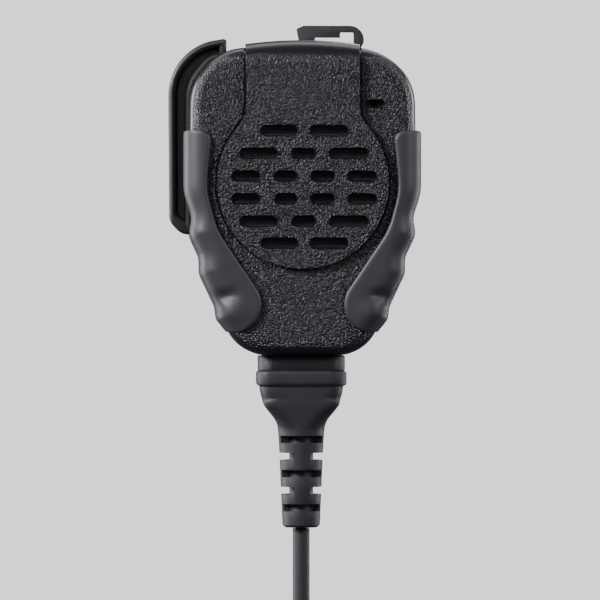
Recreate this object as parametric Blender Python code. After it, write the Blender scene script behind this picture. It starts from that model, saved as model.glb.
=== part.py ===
"""Hand microphone of a portable two-way radio: a speaker microphone with a side push-to-talk paddle, rubber
grips, a swivelling spring clip on its back and a curly cord with a two-pin plug.

Lengths are in millimetres and are turned into metres where a mesh is made. X is the width, -Y the front and
+Z up. Places are measured from the loudspeaker's axis (x, z) at the plane where the two covers meet (y), and
the whole object hangs on one empty that puts the clip's grip, which holds it up, at the origin.
"""

import math

import bmesh
import bpy
from mathutils import Vector

MM = 0.001
GAP = 0.3
ARC_STEP = math.radians(15)

# Housing. An outline is a list of corners (x, z, radius), clockwise as seen from the front.
HALF_WIDTH = 31.2
TOP_Z = 37.2
BOTTOM_Z = -47.2
FRONT_Y = -13.5
BACK_Y = 13.0
WALL = 2.0
EDGE_ROLL = 4.5
CORNER_R = 16.0
WAIST_Z = -3.0
FOOT_HALF = 18.8
BODY = [
    (HALF_WIDTH, TOP_Z, CORNER_R),
    (HALF_WIDTH, WAIST_Z, 40.0),
    (FOOT_HALF, BOTTOM_Z, 10.0),
    (-FOOT_HALF, BOTTOM_Z, 10.0),
    (-HALF_WIDTH, WAIST_Z, 40.0),
    (-HALF_WIDTH, TOP_Z, CORNER_R),
]
CASE_SCREWS = [(13.0, 31.0), (-13.0, 31.0), (15.0, -38.0), (-15.0, -38.0)]
BOARD_SCREWS = [(24.5, -2.0), (12.5, -28.5)]
CLAMP_SCREWS = [(6.0, -39.0), (-6.0, -39.0)]

# Raised band and round grille on the front.
GRILLE_R = 23.9
BAND_HALF = 15.6
BAND_TOP_Z = 39.3
BAND_FILLET = 8.0
BAND_FRONT_Y = -14.9
SLOT_HIGH = 2.5
SLOT_ROWS = [
    (14.6, [(-12.0, -1.8), (1.8, 12.0)]),
    (8.4, [(-17.7, -7.2), (-3.4, 3.4), (7.2, 17.7)]),
    (2.2, [(-19.9, -12.1), (-8.2, -1.8), (1.8, 8.2), (12.1, 19.9)]),
    (-4.0, [(-19.9, -12.1), (-8.2, -1.8), (1.8, 8.2), (12.1, 19.9)]),
    (-10.2, [(-17.7, -7.2), (-3.4, 3.4), (7.2, 17.7)]),
    (-16.4, [(-12.0, -1.8), (1.8, 12.0)]),
]
MIC_X, MIC_Z = 19.5, 21.8
MIC_SLOT = (5.2, 2.1)

# Rubber grips: the right one's outline, the left one is its mirror image.
GRIP = [
    (25.7, 14.9, 3.0),
    (32.9, 14.7, 0.8),
    (32.9, -2.5, 14.0),
    (30.2, -9.6, 5.0),
    (31.4, -14.0, 4.0),
    (28.1, -20.2, 4.0),
    (28.4, -24.8, 4.0),
    (23.9, -33.8, 4.0),
    (23.5, -37.4, 2.5),
    (20.6, -41.0, 1.2),
    (11.1, -40.8, 7.5),
    (11.1, -30.8, 7.5),
    (23.4, -12.7, 20.0),
    (26.5, -2.0, 20.0),
]
GRIP_FRONT_Y = -14.4
GRIP_BACK_Y = 11.0

# Push-to-talk paddle in its trough on the left edge.
TROUGH_HALF = 8.0
TROUGH_IN = 6.9
TROUGH_FLOOR = 5.0
TROUGH_END_Z = -17.5
TROUGH_TOP_ANGLE = 102.0
PADDLE_HALF = 6.4
PADDLE = [
    (-20.7, 34.2, 0.6),
    (-24.6, 33.4, 5.0),
    (-29.8, 27.0, 10.0),
    (-30.0, -13.9, 0.6),
    (-33.0, -13.9, 2.0),
    (-36.6, -10.3, 2.0),
    (-37.4, 29.2, 14.0),
    (-27.0, 39.6, 9.0),
    (-20.7, 39.5, 0.8),
]
PADDLE_RIM = 1.5
PADDLE_POCKET = 2.0
PTT_PIN = (-21.5, 33.5)
PTT_PIN_R = 0.75
PUSH_Z = -2.0
SPRING_Z = 9.0
SWITCH_X = -23.5

# Swivelling spring clip on the back, off centre and away from the paddle.
CLIP_X = 9.0
SWIVEL_Z = 6.0
BASE_Y = 15.8
PLATE = 1.2
BASE_HALF = 9.0
BASE_TOP_Z = 27.0
BASE_FOOT_Z = -20.0
JAW_Y = 24.2
JAW_PIN = (21.0, 20.0)
JAW_PIN_R = 1.2
LEVER_HALF = 7.5
LEVER_TOP_Z = 45.3
GRIP_POINT = (CLIP_X, 19.5, -19.4)

# Strain relief and cord.
CORD_R = 2.35
BOOT_END_Z = -94.7
BOOT_CORE_R = 3.3
STRUT = math.radians(21.5)
LEAD_END_Z = -138.0
CURL_R = 9.0
CURL_END_Z = -243.0
TAIL_END_Z = -257.0
PLUG_TOP_Z = -269.0

FINISHES = {
    "textured_abs": ("#1b1b1d", 0.5, 0.0),
    "moulded_abs": ("#19191b", 0.45, 0.0),
    "grip_rubber": ("#2b2a2e", 0.7, 0.0),
    "cord_rubber": ("#242327", 0.65, 0.0),
    "screen_cloth": ("#3a3a3d", 0.9, 0.0),
    "black_steel": ("#1d1b1c", 0.45, 1.0),
    "bright_steel": ("#b8b8b8", 0.3, 1.0),
    "brass_gilt": ("#c9a24a", 0.25, 1.0),
    "board_green": ("#0e4a2c", 0.5, 0.0),
    "foam": ("#202020", 0.95, 0.0),
    "paper_cone": ("#262220", 0.9, 0.0),
    "ferrite": ("#38383a", 0.6, 0.2),
    "nylon": ("#d8d4c8", 0.5, 0.0),
    "wire_red": ("#a01c1c", 0.5, 0.0),
    "wire_white": ("#d9d9d4", 0.5, 0.0),
    "wire_blue": ("#1c3c8a", 0.5, 0.0),
}


def clear_scene():
    for obj in list(bpy.data.objects):
        bpy.data.objects.remove(obj)


def finish(name):
    """The Principled material of that name, made the first time it is asked for."""
    if name in bpy.data.materials:
        return bpy.data.materials[name]
    hexes, roughness, metallic = FINISHES[name]
    channels = [int(hexes[i : i + 2], 16) / 255 for i in (1, 3, 5)]
    linear = [c / 12.92 if c <= 0.04045 else ((c + 0.055) / 1.055) ** 2.4 for c in channels]
    material = bpy.data.materials.new(name)
    material.use_nodes = True
    shader = material.node_tree.nodes["Principled BSDF"]
    shader.inputs["Base Color"].default_value = (*linear, 1.0)
    shader.inputs["Roughness"].default_value = roughness
    shader.inputs["Metallic"].default_value = metallic
    return material


def add_object(name, bm, material=None, origin=(0, 0, 0)):
    """One object from a bmesh in millimetres. With no material it is a cutter, and no part of the object."""
    bmesh.ops.remove_doubles(bm, verts=bm.verts, dist=1e-4)
    bmesh.ops.recalc_face_normals(bm, faces=bm.faces)
    bmesh.ops.translate(bm, verts=bm.verts, vec=-Vector(origin))
    bmesh.ops.scale(bm, verts=bm.verts, vec=(MM, MM, MM))
    mesh = bpy.data.meshes.new(name)
    bm.to_mesh(mesh)
    bm.free()
    mesh.shade_smooth()
    mesh.set_sharp_from_angle(angle=math.radians(35))
    obj = bpy.data.objects.new(name, mesh)
    bpy.context.scene.collection.objects.link(obj)
    obj.location = Vector(origin) * MM
    obj.parent = bpy.data.objects["hand_mic"]
    if material:
        mesh.materials.append(finish(material))
    else:
        obj.hide_render = True
        obj.display_type = "WIRE"
    return obj


def combine(obj, other, operation="DIFFERENCE"):
    modifier = obj.modifiers.new(operation.lower(), "BOOLEAN")
    modifier.operation = operation
    modifier.solver = "EXACT"
    modifier.object = other
    return obj


def offset(corners, distance):
    """The same outline grown outwards by that distance, or shrunk if it is negative."""
    count = len(corners)
    lines = []
    for i in range(count):
        a, b = Vector(corners[i][:2]), Vector(corners[(i + 1) % count][:2])
        way = (b - a).normalized()
        lines.append((a + Vector((-way.y, way.x)) * distance, way))
    made = []
    for i, (_, _, radius) in enumerate(corners):
        (p, u), (q, v) = lines[i - 1], lines[i]
        turn = u.x * v.y - u.y * v.x
        along = ((q.x - p.x) * v.y - (q.y - p.y) * v.x) / turn
        place = p + u * along
        made.append((place.x, place.y, max(0.05, radius + (distance if turn < 0 else -distance))))
    return made


def rounded(corners, closed=True):
    """Points (x, z) round an outline, or along an open path, with an arc at each corner."""
    points = []
    count = len(corners)
    for i, (x, z, radius) in enumerate(corners):
        here = Vector((x, z))
        if not closed and i in (0, count - 1):
            points.append(here)
            continue
        before = (here - Vector(corners[i - 1][:2])).normalized()
        after = (Vector(corners[(i + 1) % count][:2]) - here).normalized()
        turn = before.angle_signed(after)
        start = here - before * radius * math.tan(abs(turn) / 2)
        side = -math.copysign(1, turn)
        centre = start + Vector((-before.y, before.x)) * side * radius
        steps = max(1, round(abs(turn) / ARC_STEP))
        spoke = start - centre
        for k in range(steps + 1):
            angle = -turn * k / steps
            cos, sin = math.cos(angle), math.sin(angle)
            points.append(centre + Vector((spoke.x * cos - spoke.y * sin, spoke.x * sin + spoke.y * cos)))
    return points


def mirrored(corners):
    return [(-x, z, radius) for x, z, radius in reversed(corners)]


def skin(bm, rings, loop=False):
    """Quads between rings of equal length, and a face on each end ring unless the rings loop."""
    rows = [[bm.verts.new(p) for p in ring] for ring in rings]
    pairs = list(zip(rows, rows[1:]))
    if loop:
        pairs.append((rows[-1], rows[0]))
    else:
        bm.faces.new(rows[0])
        bm.faces.new(rows[-1])
    for a, b in pairs:
        for i in range(len(a)):
            j = (i + 1) % len(a)
            bm.faces.new((a[i], a[j], b[j], b[i]))
    return bm


def prism(points, low_y, high_y, bm=None):
    """An outline in X and Z extruded along Y."""
    bm = bm or bmesh.new()
    return skin(bm, [[(p[0], y, p[1]) for p in points] for y in (low_y, high_y)])


def block(low, high, bm=None):
    (x0, y0, z0), (x1, y1, z1) = low, high
    return prism([(x0, z0), (x0, z1), (x1, z1), (x1, z0)], y0, y1, bm)


def turned(profile, centre, axis="Y", sides=24, bm=None):
    """A profile of (radius, distance along the axis) spun once round a line through centre."""
    bm = bm or bmesh.new()
    way = {"X": Vector((1, 0, 0)), "Y": Vector((0, 1, 0)), "Z": Vector((0, 0, 1))}[axis]
    out = Vector((0, 0, 1)) if axis != "Z" else Vector((1, 0, 0))
    centre = Vector(centre)
    verts = [bm.verts.new(centre + out * radius + way * along) for radius, along in profile]
    ends_open = profile[0][0] > 0 or profile[-1][0] > 0
    pairs = list(zip(verts, verts[1:]))
    if ends_open:
        pairs.append((verts[-1], verts[0]))
    edges = [bm.edges.new(pair) for pair in pairs]
    bmesh.ops.spin(
        bm, geom=verts + edges, cent=centre, axis=way, angle=math.tau, steps=sides, use_merge=True
    )
    bmesh.ops.remove_doubles(bm, verts=bm.verts, dist=1e-4)
    return bm


def path_frames(points):
    """Each point of an open path with its normal, to the left of the way along it and mitred at the bends."""
    ways = [(b - a).normalized() for a, b in zip(points, points[1:])]
    normals = [Vector((-way.y, way.x)) for way in ways]
    frames = []
    for here, a, b in zip(points, [normals[0], *normals], [*normals, normals[-1]]):
        frames.append((here, (a + b) / (1 + a.dot(b))))
    return frames


def swept(frames, section, bm=None):
    """A closed section of (inset, y) carried along a path."""
    rings = [[(p.x + n.x * inset, y, p.y + n.y * inset) for inset, y in section] for p, n in frames]
    return skin(bm or bmesh.new(), rings)


def tube(name, points, radius, material, sides=3):
    """A round cord or wire: a curve with a bevel and filled caps through points in millimetres."""
    curve = bpy.data.curves.new(name, "CURVE")
    curve.dimensions = "3D"
    curve.bevel_depth = radius * MM
    curve.bevel_resolution = sides - 1
    curve.use_fill_caps = True
    spline = curve.splines.new("POLY")
    spline.points.add(len(points) - 1)
    for slot, place in zip(spline.points, points):
        slot.co = (*(Vector(place) * MM), 1.0)
    curve.materials.append(finish(material))
    obj = bpy.data.objects.new(name, curve)
    bpy.context.scene.collection.objects.link(obj)
    obj.parent = bpy.data.objects["hand_mic"]
    return obj


def smooth_line(marks, count):
    """Points evenly spread in parameter along a Catmull-Rom curve through the marks."""
    marks = [Vector(m) for m in marks]
    ends = [marks[0] * 2 - marks[1], *marks, marks[-1] * 2 - marks[-2]]
    made = []
    for k in range(count):
        t = k / (count - 1) * (len(marks) - 1)
        i = min(int(t), len(marks) - 2)
        t -= i
        a, b, c, d = ends[i : i + 4]
        bend = (2 * a - 5 * b + 4 * c - d) * t * t + (3 * b - a - 3 * c + d) * t**3
        made.append((2 * b + (c - a) * t + bend) / 2)
    return made


# Housing


def body_ring(inset, y):
    return [(p.x, y, p.y) for p in rounded(offset(BODY, -inset))]


def edge_rings(face_y, inwards, roll=EDGE_ROLL, grow=0.0, steps=4):
    """Rings that roll the body's side over to its flat front or back face."""
    rings = []
    for k in range(steps + 1):
        angle = math.pi / 2 * k / steps
        inset = roll * (1 - math.cos(angle)) - grow
        rings.append(body_ring(inset, face_y + inwards * roll * (1 - math.sin(angle))))
    return rings


def envelope(name, front_y, back_y, grow):
    """The closed outer shape of both covers together, grown all round."""
    front = edge_rings(front_y, 1, EDGE_ROLL + grow, grow)
    back = edge_rings(back_y, -1, EDGE_ROLL + grow, grow)
    return add_object(name, skin(bmesh.new(), list(reversed(front)) + back))


def cover_shell(face_y, split_y, groove):
    """A cup with one rounded closed face and, in the rim where the covers meet, a groove for the seal."""
    inwards = 1 if face_y < split_y else -1
    inner_y = face_y + inwards * WALL
    rings = [
        body_ring(WALL + 2.4, inner_y),
        body_ring(WALL + 0.7, inner_y + inwards * 0.7),
        body_ring(WALL, inner_y + inwards * 2.4),
        body_ring(WALL, split_y),
    ]
    if groove:
        floor_y = split_y - inwards * 1.0
        rings += [body_ring(1.5, split_y), body_ring(1.5, floor_y)]
        rings += [body_ring(0.6, floor_y), body_ring(0.6, split_y)]
    rings += [body_ring(0.0, split_y)] + edge_rings(face_y, inwards)
    return skin(bmesh.new(), rings)


def keyhole_outline():
    """Band and round grille as one outline, joined by fillets, clockwise from the band's top left corner."""
    centre_x = BAND_HALF + BAND_FILLET
    centre_z = math.sqrt((GRILLE_R + BAND_FILLET) ** 2 - centre_x**2)
    meet = math.atan2(centre_z, centre_x)
    right = [Vector((BAND_HALF, BAND_TOP_Z + 5))]
    for k in range(5):
        angle = math.pi + meet * k / 4
        right.append(Vector((centre_x, centre_z)) + Vector((math.cos(angle), math.sin(angle))) * BAND_FILLET)
    steps = 16
    for k in range(1, steps + 1):
        angle = meet - (meet + math.pi / 2) * k / steps
        right.append(Vector((math.cos(angle), math.sin(angle))) * GRILLE_R)
    left = [Vector((-p.x, p.y)) for p in reversed(right[:-1])]
    return right + left


def pill(low_x, high_x, mid_z, high):
    """A slot's outline with full round ends."""
    radius = high / 2
    ends = [(high_x - radius, math.pi / 2), (low_x + radius, -math.pi / 2)]
    points = []
    for centre_x, start in ends:
        for k in range(7):
            angle = start - math.pi * k / 6
            points.append((centre_x + radius * math.cos(angle), mid_z + radius * math.sin(angle)))
    return points


def notch_cutter():
    """The gap in both covers' left edge that takes the paddle's trough."""
    half = TROUGH_HALF + GAP
    section = [(-4, -half), (-4, half), (4.5, half), (4.5, -half)]
    return add_object("notch_cutter", swept(flank_frames(GAP), section))


def cable_port_cutter():
    return add_object("cable_port_cutter", block((-10.4, -5.9, BOTTOM_Z - 3), (10.4, 5.9, BOTTOM_Z + 3.5)))


def posts(places, foot_y, top_y, radius, name):
    bm = bmesh.new()
    for x, z in places:
        turned([(0, foot_y), (radius, foot_y), (radius, top_y), (0, top_y)], (x, 0, z), sides=12, bm=bm)
    return add_object(name, bm)


def make_front_cover(notch, port):
    cover = add_object("front_cover", cover_shell(FRONT_Y, -GAP / 2, True), "textured_abs")
    band = add_object("band_blank", prism(keyhole_outline(), -20, -WALL - 4))
    grown = BAND_TOP_Z - TOP_Z
    combine(band, envelope("band_limit", BAND_FRONT_Y, BACK_Y, grown), "INTERSECT")
    combine(band, envelope("band_hollow", FRONT_Y + 1.0, BACK_Y, -1.0))
    combine(cover, band, "UNION")
    combine(cover, posts(CASE_SCREWS, FRONT_Y + 1, -GAP, 3.0, "case_posts"), "UNION")
    combine(cover, posts(BOARD_SCREWS, FRONT_Y + 1, 3.2, 2.0, "board_posts"), "UNION")
    combine(cover, posts(CLAMP_SCREWS, FRONT_Y + 1, 1.2, 2.0, "clamp_posts"), "UNION")
    slots = bmesh.new()
    for mid_z, spans in SLOT_ROWS:
        for low_x, high_x in spans:
            prism(pill(low_x, high_x, mid_z, SLOT_HIGH), -20, -10, slots)
    wide, high = MIC_SLOT
    prism(pill(MIC_X - wide / 2, MIC_X + wide / 2, MIC_Z, high), -20, -10, slots)
    for x, z in CASE_SCREWS:
        turned([(0, -8), (1.15, -8), (1.15, 2), (0, 2)], (x, 0, z), sides=12, bm=slots)
    for x, z in BOARD_SCREWS:
        turned([(0, -3), (0.95, -3), (0.95, 6), (0, 6)], (x, 0, z), sides=12, bm=slots)
    for x, z in CLAMP_SCREWS:
        turned([(0, -5), (0.9, -5), (0.9, 4), (0, 4)], (x, 0, z), sides=12, bm=slots)
    combine(cover, add_object("front_cutters", slots))
    combine(cover, notch)
    combine(cover, port)
    return cover


def make_rear_cover(notch, port):
    cover = add_object("rear_cover", cover_shell(BACK_Y, GAP / 2, False), "textured_abs")
    combine(cover, posts(CASE_SCREWS, GAP, BACK_Y - 1, 3.0, "rear_posts"), "UNION")
    profile = [(0, 10.5), (11, 10.5), (11, 14.1), (10.5, 14.6), (0, 14.6)]
    boss = turned(profile, (CLIP_X, 0, SWIVEL_Z), sides=32)
    combine(cover, add_object("swivel_boss", boss), "UNION")
    holes = bmesh.new()
    for x, z in CASE_SCREWS:
        profile = [(0, -2), (1.5, -2), (1.5, 10.4), (2.8, 10.4), (2.8, 16), (0, 16)]
        turned(profile, (x, 0, z), sides=16, bm=holes)
    turned([(0, 8), (1.7, 8), (1.7, 18), (0, 18)], (CLIP_X, 0, SWIVEL_Z), sides=16, bm=holes)
    combine(cover, add_object("rear_cutters", holes))
    combine(cover, notch)
    combine(cover, port)
    return cover


def make_seals():
    """The rubber cord in the rim's groove: a long run from the cable port round the right side and the top to
    the paddle's trough, and a short one below the trough."""
    section = [(0.85, -1.0), (0.85, 0.0), (1.3, 0.0), (1.3, -1.0)]
    gate = 11.0
    foot_x, foot_z = point_on_flank(TROUGH_END_Z - 2.0)
    long_run = [(-CORNER_R + 2.0, TOP_Z, 0), *BODY[:3], (gate, BOTTOM_Z, 0)]
    short_run = [(-gate, BOTTOM_Z, 0), BODY[3], (-foot_x, foot_z, 0)]
    for name, run in (("case_seal_long", long_run), ("case_seal_short", short_run)):
        frames = [(p, -n) for p, n in path_frames(rounded(run, closed=False))]
        add_object(name, swept(frames, section), "grip_rubber")


def flank_frames(longer=0.0):
    """Points down the body's left edge, from shoulder to lower flank, each with its inward normal."""
    centre = Vector((CORNER_R - HALF_WIDTH, TOP_Z - CORNER_R))
    first = math.radians(TROUGH_TOP_ANGLE) - longer / CORNER_R
    frames = []
    for k in range(7):
        angle = first + (math.pi - first) * k / 6
        spoke = Vector((math.cos(angle), math.sin(angle)))
        frames.append((centre + spoke * CORNER_R, -spoke))
    lean = math.atan2(HALF_WIDTH - FOOT_HALF, WAIST_Z - BOTTOM_Z)
    reach = BODY[1][2] * math.tan(lean / 2)
    marks = [(HALF_WIDTH, WAIST_Z + reach, 0.25), (*point_on_flank(WAIST_Z - reach * math.cos(lean)), 0.75)]
    marks.append((*point_on_flank(TROUGH_END_Z - longer), 1.0))
    for x, z, share in marks:
        frames.append((Vector((-x, z)), Vector((math.cos(lean * share), math.sin(lean * share)))))
    return frames


def point_on_flank(z):
    """The body's half width on the slanted flank below the waist."""
    share = (z - WAIST_Z) / (BOTTOM_Z - WAIST_Z)
    return HALF_WIDTH + (FOOT_HALF - HALF_WIDTH) * share, z


def make_case_screws():
    for number, (x, z) in enumerate(CASE_SCREWS, 1):
        profile = [(0, -6), (0.95, -6), (0.95, 10.7), (2.4, 10.7), (2.4, 11.9), (1.7, 12.5), (0, 12.5)]
        screw = add_object(f"case_screw_{number}", turned(profile, (x, 0, z), sides=16), "black_steel")
        combine(screw, cross_recess(f"recess_{number}", x, z, 11.7, 13.0, 1.1))


def cross_recess(name, x, z, low_y, high_y, reach):
    """A cross-shaped driver recess as one cutter."""
    arm = 0.25
    corners = [(arm, reach), (arm, arm), (reach, arm), (reach, -arm), (arm, -arm), (arm, -reach)]
    outline = [(x + a, z + b) for a, b in corners] + [(x - a, z - b) for a, b in corners]
    return add_object(name, prism(outline, low_y, high_y))


def make_grips():
    side = TROUGH_HALF + 0.6
    paddle_room = add_object("paddle_room", block((-45, -side, TROUGH_END_Z + 2.2), (-20, side, 30)))
    hollow = envelope("grip_hollow", FRONT_Y - 0.2, BACK_Y + 0.2, 0.2)
    limit = envelope("grip_limit", GRIP_FRONT_Y, BACK_Y + 1.9, 1.9)
    for name, corners in (("right_grip", GRIP), ("left_grip", mirrored(GRIP))):
        grip = add_object(name, prism(rounded(corners), -18, GRIP_BACK_Y), "grip_rubber")
        combine(grip, limit, "INTERSECT")
        combine(grip, hollow)
        if name == "left_grip":
            combine(grip, paddle_room)


# Push-to-talk


def make_trough():
    """The liner in the covers' left edge: two walls that hold the pin, a floor and a flange inside."""
    wall, inner, flange = TROUGH_HALF, TROUGH_IN, TROUGH_HALF + 1.5
    half = [(0.3, wall), (0.3, inner), (TROUGH_FLOOR, inner)]
    other = [(inset, -y) for inset, y in reversed(half)]
    skirt = [(2.6, -wall), (2.6, -flange), (3.7, -flange), (3.7, -wall), (6.5, -wall)]
    section = half + other + skirt + [(inset, -y) for inset, y in reversed(skirt)]
    frames = flank_frames()
    trough = add_object("ptt_trough", swept(frames, section), "moulded_abs")
    solid = [(0.35, -wall + 0.1), (0.35, wall - 0.1), (6.4, wall - 0.1), (6.4, -wall + 0.1)]
    for name, (place, normal), step in (("head_wall", frames[0], 0.1), ("foot_wall", frames[-1], -0.1)):
        way = Vector((normal.y, -normal.x))
        run = [(place + way * step, normal), (place + way * step * 12, normal)]
        combine(trough, add_object(name, swept(run, solid)), "UNION")
    x, z = PTT_PIN
    cutters = turned([(0, -12), (0.9, -12), (0.9, 12), (0, 12)], (x, 0, z), sides=12)
    turned([(0, -30), (1.8, -30), (1.8, -20), (0, -20)], (0, 0, PUSH_Z), "X", 16, cutters)
    combine(trough, add_object("trough_cutters", cutters))


def make_paddle():
    """The paddle, hinged on a pin at its top end, with a shallow pocket in each side face."""
    x, z = PTT_PIN
    origin = (x, 0, z)
    blank = prism(rounded(PADDLE), -PADDLE_HALF, PADDLE_HALF)
    paddle = add_object("ptt_paddle", blank, "moulded_abs", origin)
    half = PADDLE_HALF - 0.1
    lug = turned([(0, -half), (2.2, -half), (2.2, half), (0, half)], origin, sides=16)
    combine(paddle, add_object("paddle_lug", lug), "UNION")
    nib = block((-31.0, -1.1, PUSH_Z - 1.1), (-27.3, 1.1, PUSH_Z + 1.1))
    combine(paddle, add_object("paddle_nib", nib), "UNION")
    pockets = bmesh.new()
    floor = rounded(offset(PADDLE, -PADDLE_RIM))
    prism(floor, -PADDLE_HALF - 2, -PADDLE_HALF + PADDLE_POCKET, pockets)
    prism(floor, PADDLE_HALF - PADDLE_POCKET, PADDLE_HALF + 2, pockets)
    combine(paddle, add_object("paddle_pockets", pockets))
    bore = turned([(0, -9), (0.95, -9), (0.95, 9), (0, 9)], origin, sides=16)
    combine(paddle, add_object("paddle_bore", bore))
    pin = [(0, -7.8), (PTT_PIN_R, -7.8), (PTT_PIN_R, 7.8), (0, 7.8)]
    add_object("ptt_pin", turned(pin, origin, sides=12), "bright_steel", origin)


def make_paddle_spring():
    turns, per_turn, radius = 2.5, 10, 1.9
    low_x, high_x = -29.6, -26.7
    points = []
    steps = round(turns * per_turn)
    for k in range(steps + 1):
        angle = math.tau * k / per_turn
        along = low_x + (high_x - low_x) * k / steps
        points.append((along, radius * math.cos(angle), SPRING_Z + radius * math.sin(angle)))
    tube("ptt_spring", points, 0.25, "bright_steel", 2)


def make_switch():
    """The switch that the paddle works, and its plunger, which slides along X."""
    origin = (SWITCH_X, 0, PUSH_Z)
    shape = block((SWITCH_X, -2.6, PUSH_Z - 3), (SWITCH_X + 5.8, 3.2, PUSH_Z + 3))
    switch = add_object("ptt_switch", shape, "moulded_abs")
    bore = turned([(0, -2), (1.45, -2), (1.45, 3.6), (0, 3.6)], origin, "X", 16)
    combine(switch, add_object("switch_bore", bore))
    plunger = [(0, -3.45), (0.9, -3.45), (1.2, -3.1), (1.2, 1.8), (0, 1.8)]
    add_object("ptt_plunger", turned(plunger, origin, "X", 16), "nylon", origin)


# Loudspeaker and microphone


def make_speaker():
    axis = (0, 0, 0)
    pieces = {
        "grille_screen": ([(0, -11.3), (21.2, -11.3), (21.2, -11.0), (0, -11.0)], "screen_cloth"),
        "speaker_gasket": ([(17.2, -10.7), (19.9, -10.7), (19.9, -9.9), (17.2, -9.9)], "foam"),
        "speaker_basket": (
            [
                (17.0, -9.6), (19.8, -9.6), (19.8, -8.4), (17.6, -8.4), (11.0, -4.6), (11.0, -3.6),
                (6.0, -3.6), (6.0, -4.4), (9.8, -4.9), (16.4, -8.9),
            ],
            "black_steel",
        ),
        "speaker_cone": (
            [(0, -9.3), (2.8, -9.0), (5.0, -7.4), (8.0, -7.8), (13.5, -9.6), (15.2, -10.2), (16.6, -9.6),
             (16.6, -9.3), (15.2, -9.8), (13.5, -9.2), (8.0, -7.3), (5.0, -6.9), (2.8, -8.5), (0, -8.8)],
            "paper_cone",
        ),
        "speaker_coil": ([(3.6, -6.5), (4.4, -6.5), (4.4, -3.9), (3.6, -3.9)], "brass_gilt"),
        "speaker_magnet": ([(0, -3.3), (9.6, -3.3), (10, -2.9), (10, 0.2), (9.6, 0.6), (0, 0.6)], "ferrite"),
        "speaker_pad": ([(0, 0.9), (8.0, 0.9), (8.0, 3.2), (0, 3.2)], "foam"),
    }
    for name, (profile, material) in pieces.items():
        add_object(name, turned(profile, axis, sides=28), material)


def make_microphone():
    place = (MIC_X, 0, MIC_Z)
    boot = [(1.0, -11.3), (4.2, -11.3), (4.2, -7.4), (3.2, -7.4), (3.2, -10.2), (1.0, -10.2)]
    add_object("mic_boot", turned(boot, place, sides=20), "grip_rubber")
    capsule = [(0, -9.9), (2.9, -9.9), (3.0, -9.7), (3.0, -7.6), (2.6, -7.2), (0, -7.2)]
    add_object("mic_capsule", turned(capsule, place, sides=20), "bright_steel")


# Circuit board and wiring


def make_board():
    corners = [
        (-23.4, 22.0, 1.5), (27.0, 22.0, 2.0), (27.0, -4.0, 4.0), (19.5, -33.0, 2.0),
        (-19.0, -33.0, 2.0), (-19.0, -20.0, 2.0), (-23.4, 3.0, 2.0),
    ]
    board = add_object("circuit_board", prism(rounded(corners), 3.5, 5.1), "board_green")
    holes = bmesh.new()
    for x, z in BOARD_SCREWS:
        turned([(0, 0), (1.2, 0), (1.2, 9), (0, 9)], (x, 0, z), sides=12, bm=holes)
    combine(board, add_object("board_holes", holes))
    for number, (x, z) in enumerate(BOARD_SCREWS, 1):
        profile = [(0, -2), (0.8, -2), (0.8, 5.4), (1.9, 5.4), (1.9, 6.3), (1.4, 6.8), (0, 6.8)]
        screw = add_object(f"board_screw_{number}", turned(profile, (x, 0, z), sides=16), "bright_steel")
        combine(screw, cross_recess(f"board_recess_{number}", x, z, 6.1, 7.4, 0.9))
    add_object("audio_chip", block((4.0, 5.4, 2.0), (12.0, 6.9, 10.0)), "moulded_abs")
    can = turned([(0, 5.4), (3.1, 5.4), (3.1, 9.6), (0, 9.6)], (-9, 0, 12), sides=20)
    add_object("filter_can", can, "bright_steel")


def make_cable_end():
    """What the cable ends in inside the case: a clamp, a header on the board, its socket and the wires."""
    add_object("cable_header", block((-6.0, 5.4, -26.0), (6.0, 8.4, -22.6)), "nylon")
    add_object("cable_socket", block((-5.4, 5.5, -30.0), (5.4, 8.2, -26.3)), "nylon")
    saddle = bmesh.new()
    right = [(8.4, 1.5), (8.4, 2.9), (4.0, 2.9), (2.2, 3.9)]
    outline = right + [(-x, y) for x, y in reversed(right)]
    skin(saddle, [[(x, y, z) for x, y in outline] for z in (-41.5, -36.5)])
    clamp = add_object("cable_clamp", saddle, "moulded_abs")
    seat = turned([(0, -44), (2.65, -44), (2.65, -34), (0, -34)], (0, 0, 0), "Z", 20)
    for x, z in CLAMP_SCREWS:
        turned([(0, 0), (1.1, 0), (1.1, 5), (0, 5)], (x, 0, z), sides=12, bm=seat)
    combine(clamp, add_object("clamp_cuts", seat))
    for number, (x, z) in enumerate(CLAMP_SCREWS, 1):
        profile = [(0, -4), (0.75, -4), (0.75, 3.2), (1.7, 3.2), (1.7, 4.0), (1.2, 4.5), (0, 4.5)]
        screw = add_object(f"clamp_screw_{number}", turned(profile, (x, 0, z), sides=16), "bright_steel")
        combine(screw, cross_recess(f"clamp_recess_{number}", x, z, 3.9, 5.0, 0.8))
    first, last = -36.5, BOOT_END_Z + 0.3
    run = [(0, 0, first + (last - first) * k / 6) for k in range(7)]
    tube("cable_in_boot", run, CORD_R - 0.1, "cord_rubber")
    for name, shift, material in (
        ("cable_wire_red", -1.2, "wire_red"),
        ("cable_wire_white", 0.0, "wire_white"),
        ("cable_wire_blue", 1.2, "wire_blue"),
    ):
        marks = [(shift, 0, -36.1), (shift * 1.1, 0.6, -35.1), (shift * 2.0, 5.6, -33.9)]
        marks.append((shift * 2.6, 6.9, -30.4))
        tube(name, smooth_line(marks, 10), 0.5, material, 2)
    pair = (("speaker_wire_red", 1.0, "wire_red"), ("speaker_wire_white", 3.0, "wire_white"))
    for name, x, material in pair:
        marks = [(x, -5.8, -14.8), (x, -2.6, -15.6), (x, 1.0, -15.8), (x, 3.2, -15.6)]
        tube(name, smooth_line(marks, 8), 0.4, material, 2)


# Clip


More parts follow.
